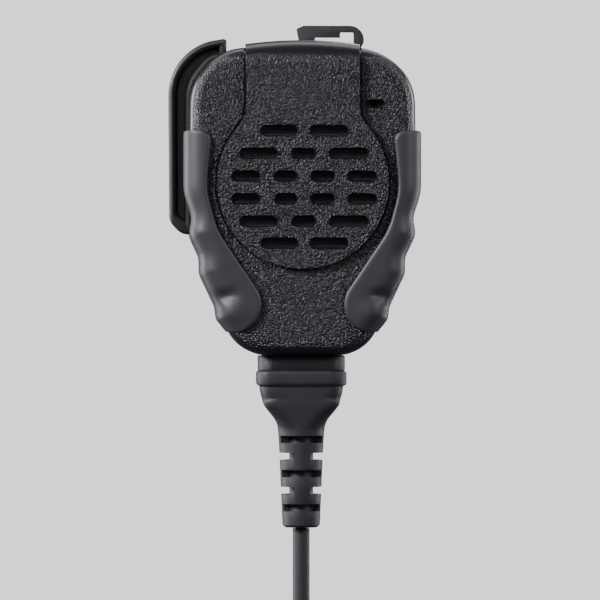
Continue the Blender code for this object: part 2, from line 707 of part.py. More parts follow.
def make_swivel():
    centre = (CLIP_X, 0, SWIVEL_Z)
    washer = [(2.6, 14.9), (9.0, 14.9), (9.0, 15.5), (2.6, 15.5)]
    add_object("swivel_washer", turned(washer, centre, sides=28), "nylon")
    screw = [
        (0, 8.4), (1.4, 8.4), (1.4, 14.3), (1.5, 14.9), (2.4, 14.9), (2.4, 17.3), (5.0, 17.3), (5.0, 18.3),
        (4.0, 19.0), (0, 19.0),
    ]
    head = add_object("swivel_screw", turned(screw, centre, sides=20), "bright_steel")
    combine(head, cross_recess("swivel_recess", CLIP_X, SWIVEL_Z, 18.0, 20.0, 2.2))


def make_clip_base():
    """The clip's fixed jaw: a plate with two ears for the pin and a toothed lip."""
    corners = [
        (CLIP_X + BASE_HALF, BASE_TOP_Z, 4.0),
        (CLIP_X + BASE_HALF, BASE_FOOT_Z, 1.5),
        (CLIP_X - BASE_HALF, BASE_FOOT_Z, 1.5),
        (CLIP_X - BASE_HALF, BASE_TOP_Z, 4.0),
    ]
    origin = (CLIP_X, BASE_Y, SWIVEL_Z)
    base = add_object("clip_base", prism(rounded(corners), BASE_Y, BASE_Y + PLATE), "black_steel", origin)
    pin_y, pin_z = JAW_PIN
    low_y = BASE_Y + 0.4
    outer = BASE_HALF - 0.05
    for name, low_x in (("left_ear", CLIP_X - outer), ("right_ear", CLIP_X + outer - PLATE)):
        outline = [(low_y, pin_z - 6), (pin_y, pin_z - 3), (pin_y + 2.4, pin_z - 1.6)]
        outline += [(pin_y + 2.4, pin_z + 1.6), (pin_y, pin_z + 3), (low_y, pin_z + 5)]
        ear = skin(bmesh.new(), [[(x, y, z) for y, z in outline] for x in (low_x, low_x + PLATE)])
        combine(base, add_object(name, ear), "UNION")
    combine(base, add_object("base_teeth", teeth(BASE_Y + 0.4, 19.3, BASE_FOOT_Z + 0.05, 7.9)), "UNION")
    holes = turned([(0, -12), (1.4, -12), (1.4, 12), (0, 12)], (CLIP_X, pin_y, pin_z), "X", 16)
    turned([(0, 14), (2.6, 14), (2.6, 18.5), (0, 18.5)], origin[:1] + (0,) + origin[2:], "Y", 20, holes)
    combine(base, add_object("base_holes", holes))


def teeth(root_y, tip_y, low_z, half):
    """A lip whose edge is cut into five teeth that point along Y."""
    count = 5
    outline = [(CLIP_X - half, root_y)]
    for k in range(count):
        left = CLIP_X - half + 2 * half * k / count
        outline += [(left, tip_y - 1.0), (left + half / count, tip_y)]
    outline += [(CLIP_X + half, tip_y - 1.0), (CLIP_X + half, root_y)]
    return skin(bmesh.new(), [[(x, y, z) for x, y in outline] for z in (low_z, low_z + PLATE)])


def lever_outline():
    """The lever as seen from the front: a narrow jaw, and a thumb tab that shows above the housing."""
    left, right = CLIP_X - LEVER_HALF, CLIP_X + LEVER_HALF
    return [
        (left, BASE_FOOT_Z, 1.0),
        (left, 27.5, 2.0),
        (0.4, 33.0, 2.0),
        (0.2, 41.3, 2.0),
        (-0.4, 44.4, 0.4),
        (1.6, LEVER_TOP_Z, 1.5),
        (18.6, LEVER_TOP_Z, 4.0),
        (18.6, 40.6, 1.6),
        (right, 36.5, 1.6),
        (right, BASE_FOOT_Z, 1.0),
    ]


def make_lever():
    """The clip's moving jaw: a bent steel strip with two cheeks on the pin and a window in its thumb tab."""
    pin_y, pin_z = JAW_PIN
    origin = (CLIP_X, pin_y, pin_z)
    inner = [(19.7, BASE_FOOT_Z), (19.7, BASE_FOOT_Z + PLATE), (JAW_Y, BASE_FOOT_Z + 3.4), (JAW_Y, 27.0)]
    inner += [(26.9, LEVER_TOP_Z + 1)]
    outer = [(28.1, LEVER_TOP_Z + 1), (JAW_Y + PLATE, 26.9), (JAW_Y + PLATE, BASE_FOOT_Z + 2.7)]
    outer += [(21.5, BASE_FOOT_Z)]
    side = inner + outer
    half = 12.0
    strip = skin(bmesh.new(), [[(x, y, z) for y, z in side] for x in (CLIP_X - half, CLIP_X + half)])
    lever = add_object("clip_lever", strip, "black_steel", origin)
    plan = add_object("lever_plan", prism(rounded(lever_outline()), 15, 35))
    combine(lever, plan, "INTERSECT")
    outer = LEVER_HALF - 0.05
    for name, low_x in (("left_cheek", CLIP_X - outer), ("right_cheek", CLIP_X + outer - 1)):
        outline = [(JAW_Y + 0.4, pin_z - 5), (pin_y, pin_z - 2.6), (pin_y - 2, pin_z)]
        outline += [(pin_y, pin_z + 2.6), (JAW_Y + 0.4, pin_z + 5)]
        cheek = skin(bmesh.new(), [[(x, y, z) for y, z in outline] for x in (low_x, low_x + 1.0)])
        combine(lever, add_object(name, cheek), "UNION")
    window = [(4.8, 35.5), (4.8, 41.9), (11.9, 41.9), (11.9, 43.4), (15.7, 43.4), (15.7, 37.5), (14.0, 35.5)]
    combine(lever, add_object("tab_window", prism(window, 20, 35)))
    notches = bmesh.new()
    for k in range(1, 5):
        middle = CLIP_X - LEVER_HALF + 2 * LEVER_HALF * k / 5
        outline = [(middle - 0.9, 19.0), (middle + 0.9, 19.0), (middle, 20.6)]
        skin(notches, [[(x, y, z) for x, y in outline] for z in (BASE_FOOT_Z - 2, BASE_FOOT_Z + 1.5)])
    combine(lever, add_object("lever_notches", notches))
    bore = turned([(0, -12), (1.4, -12), (1.4, 12), (0, 12)], origin, "X", 16)
    combine(lever, add_object("lever_bore", bore))
    pin = [(0, -9.6), (JAW_PIN_R, -9.6), (JAW_PIN_R, 9.6), (0, 9.6)]
    add_object("clip_pin", turned(pin, origin, "X", 16), "bright_steel", origin)


def make_clip_spring():
    """A torsion spring wound round the pin, with one leg on the base and one on the lever."""
    pin_y, pin_z = JAW_PIN
    turns, per_turn, radius, wire = 3.5, 10, 2.1, 0.45
    points = [(CLIP_X - 4.6, BASE_Y + PLATE + 0.8, pin_z + 5.6)]
    steps = round(turns * per_turn)
    for k in range(steps + 1):
        angle = math.pi - math.tau * k / per_turn
        x = CLIP_X - 4.6 + 9.2 * k / steps
        points.append((x, pin_y + radius * math.cos(angle), pin_z + radius * math.sin(angle)))
    points.append((CLIP_X + 4.6, pin_y + 2.3, pin_z + 6.0))
    tube("clip_spring", points, wire, "bright_steel", 2)


# Strain relief, cord and plug


def oval_ring(half_x, half_y, power, z, sides=28):
    """A ring that is a rounded rectangle at a high power and an ellipse at 2."""
    points = []
    for k in range(sides):
        angle = math.tau * (k + 0.5) / sides
        cos, sin = math.cos(angle), math.sin(angle)
        x = half_x * math.copysign(abs(cos) ** (2 / power), cos)
        y = half_y * math.copysign(abs(sin) ** (2 / power), sin)
        points.append((x, y, z))
    return points


def make_strain_relief():
    """The rubber boot: an inner flange, a neck through the case, a rectangular collar with one rib, and a
    tapered stem. The stem's slots leave two struts round a core, turned a quarter from row to row."""
    rows = [
        (11.4, 7.0, 5.0, -42.6), (11.4, 7.0, 5.0, -44.6), (9.9, 5.4, 5.0, -44.7), (9.9, 5.4, 5.0, -47.5),
        (12.0, 7.6, 6.0, -47.6), (12.0, 7.6, 6.0, -51.3), (12.4, 8.0, 6.0, -52.2), (12.3, 7.9, 6.0, -54.4),
        (11.5, 7.3, 5.5, -55.6), (11.3, 7.2, 5.0, -57.2), (10.9, 7.1, 4.4, -59.1), (10.3, 7.0, 3.8, -61.0),
        (9.0, 6.8, 3.2, -62.8), (7.4, 6.6, 2.6, -64.7), (6.7, 6.45, 2.2, -66.4), (6.4, 6.3, 2.0, -68.3),
        (6.05, 6.05, 2.0, -74.0), (5.2, 5.2, 2.0, -92.6), (5.0, 5.0, 2.0, -94.0), (4.4, 4.4, 2.0, BOOT_END_Z),
    ]
    rings = [oval_ring(*row) for row in rows]
    bore = 2.45
    rings += [oval_ring(bore, bore, 2.0, BOOT_END_Z), oval_ring(bore, bore, 2.0, rows[0][3])]
    boot = add_object("strain_relief", skin(bmesh.new(), rings, loop=True), "cord_rubber")
    slots = bmesh.new()
    high, pitch, first_z = 2.0, 4.7, -70.4
    for row in range(5):
        quarter = math.pi / 2 * (row % 2)
        mid_z = first_z - pitch * row
        for side in (0, math.pi):
            sector(slots, quarter + side + STRUT, quarter + side + math.pi - STRUT, mid_z, high)
    combine(boot, add_object("boot_slots", slots))


def sector(bm, low, high, mid_z, tall):
    """Part of a ring round the stem's core, extruded along Z."""
    steps = 6
    inner, outer = [], []
    for k in range(steps + 1):
        angle = low + (high - low) * k / steps
        inner.append((BOOT_CORE_R * math.cos(angle), BOOT_CORE_R * math.sin(angle)))
        outer.append((9 * math.cos(angle), 9 * math.sin(angle)))
    outline = inner + outer[::-1]
    skin(bm, [[(x, y, z) for x, y in outline] for z in (mid_z - tall / 2, mid_z + tall / 2)])


def make_cord():
    """The free cord hangs straight down: a lead, the curly length as one fat tube, and a tail to the plug."""
    spans = (
        ("cord_lead", BOOT_END_Z - GAP, LEAD_END_Z + GAP / 2, CORD_R, 6),
        ("cord_curl", LEAD_END_Z - GAP / 2, CURL_END_Z + GAP / 2, CURL_R, 8),
        ("cord_tail", CURL_END_Z - GAP / 2, TAIL_END_Z + GAP / 2, CORD_R, 4),
    )
    for name, high_z, low_z, radius, count in spans:
        points = [(0, 0, high_z + (low_z - high_z) * k / (count - 1)) for k in range(count)]
        tube(name, points, radius, "cord_rubber")


def make_plug():
    """The two-pin plug: a boot, a moulded body and two pins that stand out at the back."""
    rows = [(2.9, 2.9, 2.0, TAIL_END_Z - GAP / 2), (3.3, 3.3, 2.0, TAIL_END_Z - 1.0)]
    rows += [(4.6, 4.4, 2.4, PLUG_TOP_Z + 1.0), (4.8, 4.5, 2.6, PLUG_TOP_Z + GAP / 2)]
    add_object("plug_boot", skin(bmesh.new(), [oval_ring(*row, sides=20) for row in rows]), "cord_rubber")
    shape = [(5.0, 4.6, 0), (6.2, 5.6, 1), (6.6, 5.8, 3), (6.6, 5.8, 23), (6.0, 5.3, 25.3), (4.8, 4.3, 26)]
    rings = [oval_ring(a, b, 4.5, PLUG_TOP_Z - GAP / 2 - down * 0.99, 24) for a, b, down in shape]
    body = add_object("plug_body", skin(bmesh.new(), rings), "moulded_abs")
    pins = (("plug_pin_large", -277.0, 1.75, 13.0), ("plug_pin_small", -288.0, 1.25, 11.0))
    sockets = bmesh.new()
    for name, z, radius, length in pins:
        turned([(0, 3.0), (radius + 0.15, 3.0), (radius + 0.15, 9), (0, 9)], (0, 0, z), sides=16, bm=sockets)
        tip = 5.8 + length
        neck = tip - 2.4
        profile = [
            (0, 3.3), (radius, 3.3), (radius, neck - 0.6), (radius * 0.72, neck), (radius * 0.95, neck + 0.9),
            (radius * 0.35, tip), (0, tip),
        ]
        add_object(name, turned(profile, (0, 0, z), sides=16), "brass_gilt")
    combine(body, add_object("pin_sockets", sockets))


def main():
    clear_scene()
    frame = bpy.data.objects.new("hand_mic", None)
    bpy.context.scene.collection.objects.link(frame)
    frame.location = -Vector(GRIP_POINT) * MM
    notch = notch_cutter()
    port = cable_port_cutter()
    make_front_cover(notch, port)
    make_rear_cover(notch, port)
    make_seals()
    make_case_screws()
    make_grips()
    make_trough()
    make_paddle()
    make_paddle_spring()
    make_switch()
    make_speaker()
    make_microphone()
    make_board()
    make_cable_end()
    make_swivel()
    make_clip_base()
    make_lever()
    make_clip_spring()
    make_strain_relief()
    make_cord()
    make_plug()


main()
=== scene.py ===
import math

import bmesh
import bpy
from mathutils import Matrix, Vector


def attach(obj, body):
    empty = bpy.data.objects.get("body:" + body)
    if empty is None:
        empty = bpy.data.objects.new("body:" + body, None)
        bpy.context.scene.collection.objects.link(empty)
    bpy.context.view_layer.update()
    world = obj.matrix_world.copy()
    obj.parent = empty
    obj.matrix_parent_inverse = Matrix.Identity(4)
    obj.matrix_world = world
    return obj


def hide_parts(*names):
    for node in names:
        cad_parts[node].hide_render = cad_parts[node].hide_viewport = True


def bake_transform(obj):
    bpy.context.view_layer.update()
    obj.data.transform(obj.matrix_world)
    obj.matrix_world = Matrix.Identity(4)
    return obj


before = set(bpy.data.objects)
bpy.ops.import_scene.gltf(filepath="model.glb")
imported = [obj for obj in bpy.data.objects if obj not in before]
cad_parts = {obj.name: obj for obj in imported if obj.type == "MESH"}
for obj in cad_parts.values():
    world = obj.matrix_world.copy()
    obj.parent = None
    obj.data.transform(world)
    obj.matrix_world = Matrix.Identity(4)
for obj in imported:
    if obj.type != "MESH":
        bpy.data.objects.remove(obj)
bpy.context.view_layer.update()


# Studio. The microphone is in a wide bowl of pale paper, with a soft box on the left as the strongest of
# seven lamps. The others fill from the right, the front and the rear, and draw bright edges from behind and
# above. The camera has a long lens and stands far off, so nothing converges.
MM = 0.001
GRIP_POINT = Vector((9.0, 19.5, -19.4))
VIEW_CENTRE = (-0.5, -5.0, -32.0)
VIEW_WIDTH = 165.0
VIEW_DISTANCE = 1.3
VIEW_AZIMUTH = -2.0
FLOOR_Z = -0.33
BOWL_R = 3.3
BOWL_CURVE = 0.9
BOWL_SIDES = 96
BOWL_STEPS = 12
BOWL_HUB_R, BOWL_TOP_Z = 0.02, 4.5
PAPER_GLOW = 1.45


def place(x, y, z):
    """A place in the row frame, from millimetres off the grille's centre on the seam's plane."""
    return (Vector((x, y, z)) - GRIP_POINT) * MM


def linear(hexes):
    """A colour in linear light from its sRGB hex value."""
    channels = [int(hexes[i : i + 2], 16) / 255 for i in (1, 3, 5)]
    return [c / 12.92 if c <= 0.04045 else ((c + 0.055) / 1.055) ** 2.4 for c in channels] + [1.0]


def add(tree, kind, inputs=None, **settings):
    """A node with its settings, and each input given a value or linked to another node's output."""
    node = tree.nodes.new(kind)
    for key, value in settings.items():
        setattr(node, key, value)
    for key, value in (inputs or {}).items():
        if isinstance(value, bpy.types.NodeSocket):
            tree.links.new(value, node.inputs[key])
        else:
            node.inputs[key].default_value = value
    return node


def new_material(name, values):
    """A material with one Principled shader set to those values, and its tree and shader to build on."""
    material = bpy.data.materials.new(name)
    material.use_nodes = True
    tree = material.node_tree
    shader = tree.nodes["Principled BSDF"]
    for key, value in values.items():
        shader.inputs[key].default_value = value
    return material, tree, shader


# The paper glows, so that it stays one pale tone from any side. It is hidden from diffuse and mirrored light.
glow = {"Base Color": linear("#e4e4e1"), "Roughness": 0.95}
glow.update({"Emission Color": linear("#f4f4f5"), "Emission Strength": PAPER_GLOW})
paper, _, _ = new_material("seamless_paper", glow)
bowl_rows = [(BOWL_HUB_R, FLOOR_Z), (BOWL_R, FLOOR_Z)]
for k in range(1, BOWL_STEPS + 1):
    turn = math.pi / 2 * k / BOWL_STEPS
    bowl_rows.append((BOWL_R + BOWL_CURVE * math.sin(turn), FLOOR_Z + BOWL_CURVE * (1 - math.cos(turn))))
bowl_rows.append((BOWL_R + BOWL_CURVE, BOWL_TOP_Z))
bowl_points = []
bowl_faces = []
for i, (radius, z) in enumerate(bowl_rows):
    for k in range(BOWL_SIDES):
        turn = math.tau * k / BOWL_SIDES
        bowl_points.append((radius * math.cos(turn), radius * math.sin(turn), z))
        if i:
            here, after = i * BOWL_SIDES + k, i * BOWL_SIDES + (k + 1) % BOWL_SIDES
            bowl_faces.append((here, after, after - BOWL_SIDES, here - BOWL_SIDES))
bowl_mesh = bpy.data.meshes.new("paper_bowl")
bowl_mesh.from_pydata(bowl_points, [], [*bowl_faces, tuple(range(BOWL_SIDES))])
bowl_mesh.shade_smooth()
bowl_mesh.materials.append(paper)
bowl = bpy.data.objects.new("paper_bowl", bowl_mesh)
bowl.visible_diffuse = False
bowl.visible_glossy = False
bpy.context.scene.collection.objects.link(bowl)

room = bpy.data.worlds.new("room")
room.use_nodes = True
room.node_tree.nodes["Background"].inputs["Color"].default_value = linear("#ece2f8")
room.node_tree.nodes["Background"].inputs["Strength"].default_value = 0.15
bpy.context.scene.world = room

view_centre = place(*VIEW_CENTRE)
for name, spot, size, power in (
    ("soft_box_left", (-0.75, -0.38, 0.42), (0.24, 0.34), 17.0),
    ("soft_box_right", (0.75, -0.45, 0.30), (0.30, 0.50), 4.0),
    ("front_fill", (-0.40, -1.20, 0.80), (0.60, 0.40), 7.0),
    ("rear_fill", (0.45, 1.20, 0.70), (0.60, 0.60), 9.0),
    ("rim_left", (-0.65, 0.30, 0.05), (0.15, 0.60), 5.0),
    ("rim_right", (0.65, 0.35, 0.05), (0.15, 0.60), 3.0),
    ("strip_above", (0.0, 0.25, 0.60), (0.9, 0.25), 2.0),
):
    lamp = bpy.data.lights.new(name, "AREA")
    lamp.shape = "RECTANGLE"
    lamp.size, lamp.size_y = size
    lamp.energy = power
    lamp.color = linear("#fcf8ff")[:3]
    light = bpy.data.objects.new(name, lamp)
    bpy.context.scene.collection.objects.link(light)
    light.location = view_centre + Vector(spot)
    light.rotation_euler = (-Vector(spot)).to_track_quat("-Z", "Y").to_euler()

lens = bpy.data.cameras.new("long_lens")
lens.sensor_width = 36.0
lens.lens = lens.sensor_width * VIEW_DISTANCE / (VIEW_WIDTH * MM)
lens.clip_end = 20.0
camera = bpy.data.objects.new("camera", lens)
bpy.context.scene.collection.objects.link(camera)
bearing = math.radians(VIEW_AZIMUTH)
looking = Vector((-math.sin(bearing), math.cos(bearing), 0.0))
camera.location = view_centre - looking * VIEW_DISTANCE
camera.rotation_euler = looking.to_track_quat("-Z", "Y").to_euler()
bpy.context.scene.camera = camera


# Covers. Two cups of black ABS meet in a seam round the housing's side. The front one has a raised band that
# comes over the top edge and widens into a round grille; the rear one has a boss for the clip and four screw
# wells. Both are moulded with a leather grain on their faces, while the edges that roll over are left smooth.
BODY = [
    (30.75, 37.2, 15.8),
    (31.3, 2.0, 60.0),
    (18.8, -47.2, 12.0),
    (-18.8, -47.2, 12.0),
    (-31.3, 2.0, 60.0),
    (-30.75, 37.2, 15.8),
]
FRONT_Y, BACK_Y = -13.5, 13.0
WALL = 2.0
ROLL = 4.8
SEAM_HALF = 0.1
SEAM_BREAK = 0.3
BAND_HALF = 15.6
BAND_TOP_Z = 39.3
BAND_Y = -14.8
BAND_BREAK = 0.7
BAND_ROLL = 6.4
BAND_LIMIT = [(0.0, 40.41, 111.0), (34.0, 35.6, 8.0), (34.0, -60.0, 5.0)]
BAND_LIMIT += [(-34.0, -60.0, 5.0), (-34.0, 35.6, 8.0)]
GRILLE_R = 23.5
FILLET_R = 8.0
GROOVE = 0.55
SLOT_HIGH = 2.5
SLOT_BREAK = 0.35
SLOT_ROWS = [
    (14.2, [(-11.4, -1.6), (2.0, 12.2)]),
    (8.0, [(-17.1, -7.1), (-2.9, 3.3), (7.3, 17.7)]),
    (1.8, [(-19.3, -11.9), (-7.7, -1.7), (2.2, 8.5), (12.4, 20.0)]),
    (-4.4, [(-19.3, -11.9), (-7.7, -1.7), (2.2, 8.5), (12.4, 20.0)]),
    (-10.5, [(-17.1, -7.1), (-2.9, 3.3), (7.3, 17.7)]),
    (-16.5, [(-11.4, -1.6), (2.0, 12.2)]),
]
MIC_SLOT = (19.8, 21.6, 4.8, 1.7)
CASE_SCREWS = [(13.0, 31.0), (-13.0, 31.0), (15.0, -38.0), (-15.0, -38.0)]
SWIVEL = (9.0, 6.0)
TROUGH_HALF = 8.0
TROUGH_FOOT_Z = -17.5
TROUGH_HEAD_X = -18.5
GAP = 0.3


def grown(corners, distance):
    """An outline of corners (x, z, radius), clockwise from the front, moved outwards by that distance."""
    made = []
    spots = [Vector(c[:2]) for c in corners]
    for i, here in enumerate(spots):
        before = (here - spots[i - 1]).normalized()
        after = (spots[(i + 1) % len(spots)] - here).normalized()
        left_a, left_b = Vector((-before.y, before.x)), Vector((-after.y, after.x))
        shift = (left_a + left_b) / (1 + left_a.dot(left_b)) * distance
        convex = before.cross(after) < 0
        made.append((*(here + shift), max(0.02, corners[i][2] + (distance if convex else -distance))))
    return made


def rounded(corners, step=4.0):
    """Points round an outline, with an arc of even steps, in degrees, at each corner."""
    points = []
    spots = [Vector(c[:2]) for c in corners]
    for i, here in enumerate(spots):
        before = (here - spots[i - 1]).normalized()
        after = (spots[(i + 1) % len(spots)] - here).normalized()
        turn = math.atan2(before.cross(after), before.dot(after))
        radius = corners[i][2]
        side = Vector((-before.y, before.x)) * math.copysign(1, turn)
        start = here - before * radius * math.tan(abs(turn) / 2)
        steps = max(1, round(abs(math.degrees(turn)) / step))
        for k in range(steps + 1):
            points.append(start + side * radius + Matrix.Rotation(turn * k / steps, 2) @ (side * -radius))
    return points


def loft(rings):
    """A solid skin over rings with equal numbers of points, closed by a face at each end."""
    bm = bmesh.new()
    rows = [[bm.verts.new(p) for p in ring] for ring in rings]
    bm.faces.new(rows[0])
    bm.faces.new(rows[-1])
    for a, b in zip(rows, rows[1:]):
        for i in range(len(a)):
            j = (i + 1) % len(a)
            bm.faces.new((a[i], a[j], b[j], b[i]))
    return bm


def levels(outline, steps, step=4.0):
    """A solid whose outline, grown by each step's amount, lies at each step's y."""
    return loft([[(p.x, y, p.y) for p in rounded(grown(outline, out), step)] for out, y in steps])


def turned(profile, centre, axis="Y", sides=48, bm=None):
    """A profile of (radius, distance along the axis) that starts and ends on the axis, spun round it."""
    bm = bm or bmesh.new()
    way = {"X": Vector((1, 0, 0)), "Y": Vector((0, 1, 0)), "Z": Vector((0, 0, 1))}[axis]
    out = Vector((1, 0, 0)) if axis == "Z" else Vector((0, 0, 1))
    centre = Vector(centre)
    verts = [bm.verts.new(centre + out * radius + way * along) for radius, along in profile]
    geom = verts + [bm.edges.new(pair) for pair in zip(verts, verts[1:])]
    bmesh.ops.spin(bm, geom=geom, cent=centre, axis=way, angle=math.tau, steps=sides, use_merge=True)
    return bm


def as_mesh(bm):
    """A mesh in millimetres from that bmesh, merged and facing outwards."""
    bmesh.ops.remove_doubles(bm, verts=bm.verts, dist=1e-4)
    bmesh.ops.recalc_face_normals(bm, faces=bm.faces)
    mesh = bpy.data.meshes.new("work")
    bm.to_mesh(mesh)
    bm.free()
    return mesh


def worked(mesh, *steps):
    """The mesh after steps, each a modifier's kind with its settings or a Boolean's operation with a mesh."""
    work = bpy.data.objects.new("work", mesh)
    bpy.context.scene.collection.objects.link(work)
    used = [work]
    for kind, value in steps:
        if kind in ("UNION", "DIFFERENCE", "INTERSECT"):
            used.append(bpy.data.objects.new("other", value))
            bpy.context.scene.collection.objects.link(used[-1])
            kind, value = "BOOLEAN", {"operation": kind, "solver": "EXACT", "object": used[-1]}
        modifier = work.modifiers.new(kind, kind)
        for key, setting in value.items():
            setattr(modifier, key, setting)
    bpy.context.view_layer.update()
    made = bpy.data.meshes.new_from_object(work.evaluated_get(bpy.context.evaluated_depsgraph_get()))
    for obj in used:
        bpy.data.objects.remove(obj)
    return made


def softened(width, segments=3, angle=35):
    """A bevel step for edges sharper than that angle."""
    return (
        "BEVEL",
        {
            "width": width,
            "segments": segments,
            "limit_method": "ANGLE",
            "angle_limit": math.radians(angle),
            "harden_normals": False,
        },
    )


def copies(shape, axis, places):
    """Copies of a shape at places of (x, y, z, turn about the axis, stretch), made by a geometry tree. The
    shape's points that are marked -1 or 1 in the attribute "end" move apart along X by the stretch."""
    tree = bpy.data.node_groups.new("copies", "GeometryNodeTree")
    sockets = {}
    wanted = (("Geometry", "Geometry"), ("Shape", "Object"), ("Axis", "Vector"), ("Finish", "Material"))
    for label, kind in wanted:
        socket = tree.interface.new_socket(label, in_out="INPUT", socket_type="NodeSocket" + kind)
        sockets[label] = socket.identifier
    tree.interface.new_socket("Geometry", in_out="OUTPUT", socket_type="NodeSocketGeometry")
    given = add(tree, "NodeGroupInput").outputs
    turn, stretch, end = [
        add(tree, "GeometryNodeInputNamedAttribute", {"Name": name}, data_type="FLOAT").outputs["Attribute"]
        for name in ("turn", "stretch", "end")
    ]
    one = add(tree, "GeometryNodeObjectInfo", {"Object": given["Shape"]})
    facing = add(tree, "FunctionNodeAxisAngleToRotation", {"Axis": given["Axis"], "Angle": turn})
    placing = {"Points": given["Geometry"], "Instance": one.outputs["Geometry"]}
    placing["Rotation"] = facing.outputs[0]
    placed = add(tree, "GeometryNodeInstanceOnPoints", placing)
    real = add(tree, "GeometryNodeRealizeInstances", {"Geometry": placed.outputs[0]})
    away = add(tree, "ShaderNodeMath", {0: stretch, 1: end}, operation="MULTIPLY")
    offset = add(tree, "ShaderNodeCombineXYZ", {"X": away.outputs[0]})
    moved = add(tree, "GeometryNodeSetPosition", {"Geometry": real.outputs[0], "Offset": offset.outputs[0]})
    dressing = {"Geometry": moved.outputs[0], "Material": given["Finish"]}
    dressed = add(tree, "GeometryNodeSetMaterial", dressing)
    add(tree, "NodeGroupOutput", {"Geometry": dressed.outputs[0]})

    points = bpy.data.meshes.new("places")
    points.from_pydata([spot[:3] for spot in places], [], [])
    for name, column in (("turn", 3), ("stretch", 4)):
        values = points.attributes.new(name, "FLOAT", "POINT")
        values.data.foreach_set("value", [spot[column] for spot in places])
    pair = [bpy.data.objects.new("work", data) for data in (points, shape)]
    for obj in pair:
        bpy.context.scene.collection.objects.link(obj)
    modifier = pair[0].modifiers.new("copies", "NODES")
    modifier.node_group = tree
    modifier[sockets["Shape"]] = pair[1]
    modifier[sockets["Axis"]] = axis
    modifier[sockets["Finish"]] = paper
    bpy.context.view_layer.update()
    made = bpy.data.meshes.new_from_object(pair[0].evaluated_get(bpy.context.evaluated_depsgraph_get()))
    for obj in pair:
        bpy.data.objects.remove(obj)
    return made


def finished(name, mesh, material, body, slot, *nodes, sharp=32):
    """A piece in the row frame from a mesh in millimetres, riding on that body and replacing those nodes."""
    mesh.transform(Matrix.Scale(MM, 4) @ Matrix.Translation(-GRIP_POINT))
    mesh.shade_smooth()
    mesh.set_sharp_from_angle(angle=math.radians(sharp))
    mesh.materials.clear()
    mesh.materials.append(material)
    piece = bpy.data.objects.new(name, mesh)
    bpy.context.scene.collection.objects.link(piece)
    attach(piece, body)
    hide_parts(*nodes)
    return piece


def swept(frames, section):
    """A closed section of (inset, y) carried along a run of places with their inward normals."""
    return loft([[(p.x + n.x * inset, y, p.y + n.y * inset) for inset, y in section] for p, n in frames])


def flank(longer=0.0):
    """Places up the housing's left edge from the trough's foot to its head, with their inward normals."""
    edge = [p for p in rounded(BODY, 3.0) if p.x < 0]
    run = []
    for a, b in zip(edge, edge[1:]):
        count = max(1, round((b - a).length / 0.5))
        way = (b - a).normalized()
        run += [(a.lerp(b, k / count), Vector((way.y, -way.x))) for k in range(count)]
    return [(p, n) for p, n in run if p.y > TROUGH_FOOT_Z - longer and p.x < TROUGH_HEAD_X + longer]


def keyhole(out=0.0):
    """The band and the round grille as one outline of points, grown by out."""
    half, radius, fillet = BAND_HALF + out, GRILLE_R + out, FILLET_R - out
    centre = Vector((half + fillet, math.sqrt((radius + fillet) ** 2 - (half + fillet) ** 2)))
    meet = math.atan2(centre.y, centre.x)
    right = [Vector((half, z)) for z in (BAND_TOP_Z + 6, 36.0, 30.0, 26.0)]
    for k in range(13):
        angle = math.pi + meet * k / 12
        right.append(centre + Vector((math.cos(angle), math.sin(angle))) * fillet)
    for k in range(1, 49):
        angle = meet - (meet + math.pi / 2) * k / 48
        right.append(Vector((math.cos(angle), math.sin(angle))) * radius)
    return right + [Vector((-p.x, p.y)) for p in reversed(right[:-1])]


def relief(*steps):
    """A solid over the keyhole outline, at each step of (growth, y)."""
    return as_mesh(loft([[(p.x, y, p.y) for p in keyhole(out)] for out, y in steps]))


def roll_steps(face_y, sign, side_y, grow=0.0, radius=ROLL, count=9):
    """Steps of (growth, y) from a place on the side over the rolled edge to a flat face."""
    steps = [(grow, side_y)]
    for k in range(count + 1):
        angle = math.pi / 2 * k / count
        steps.append((grow - radius * (1 - math.cos(angle)), face_y + sign * radius * (1 - math.sin(angle))))
    return steps


def cup(face_y, seam_y):
    """One cover's shell, with a broken edge at the seam."""
    sign = 1 if face_y < seam_y else -1
    inner_y = face_y + sign * WALL
    steps = [(-WALL - 2.6, inner_y), (-WALL - 0.8, inner_y + sign * 0.8), (-WALL, inner_y + sign * 2.6)]
    steps += [(-WALL, seam_y), (-SEAM_BREAK, seam_y)]
    return levels(BODY, steps + roll_steps(face_y, sign, seam_y - sign * SEAM_BREAK))


def slot_cutter(radius, face_y, floor_y):
    """A round cutter whose two halves part to cut a slot with full round ends and a softened mouth."""
    rings = []
    slot_steps = [(1.4, face_y - 1), (SLOT_BREAK, face_y), (0.1, face_y + 0.35)]
    slot_steps += [(0, face_y + 0.8), (0, floor_y)]
    for out, y in slot_steps:
        ring = []
        for k in range(24):
            angle = math.pi * (k % 12) / 11 - math.pi / 2 + (math.pi if k >= 12 else 0)
            ring.append((math.cos(angle) * (radius + out), y, math.sin(angle) * (radius + out)))
        rings.append(ring)
    bm = loft(rings)
    bmesh.ops.recalc_face_normals(bm, faces=bm.faces)
    mesh = bpy.data.meshes.new("slot")
    bm.to_mesh(mesh)
    bm.free()
    ends = mesh.attributes.new("end", "FLOAT", "POINT")
    ends.data.foreach_set("value", [1.0 if i % 24 < 12 else -1.0 for i in range(len(mesh.vertices))])
    return mesh


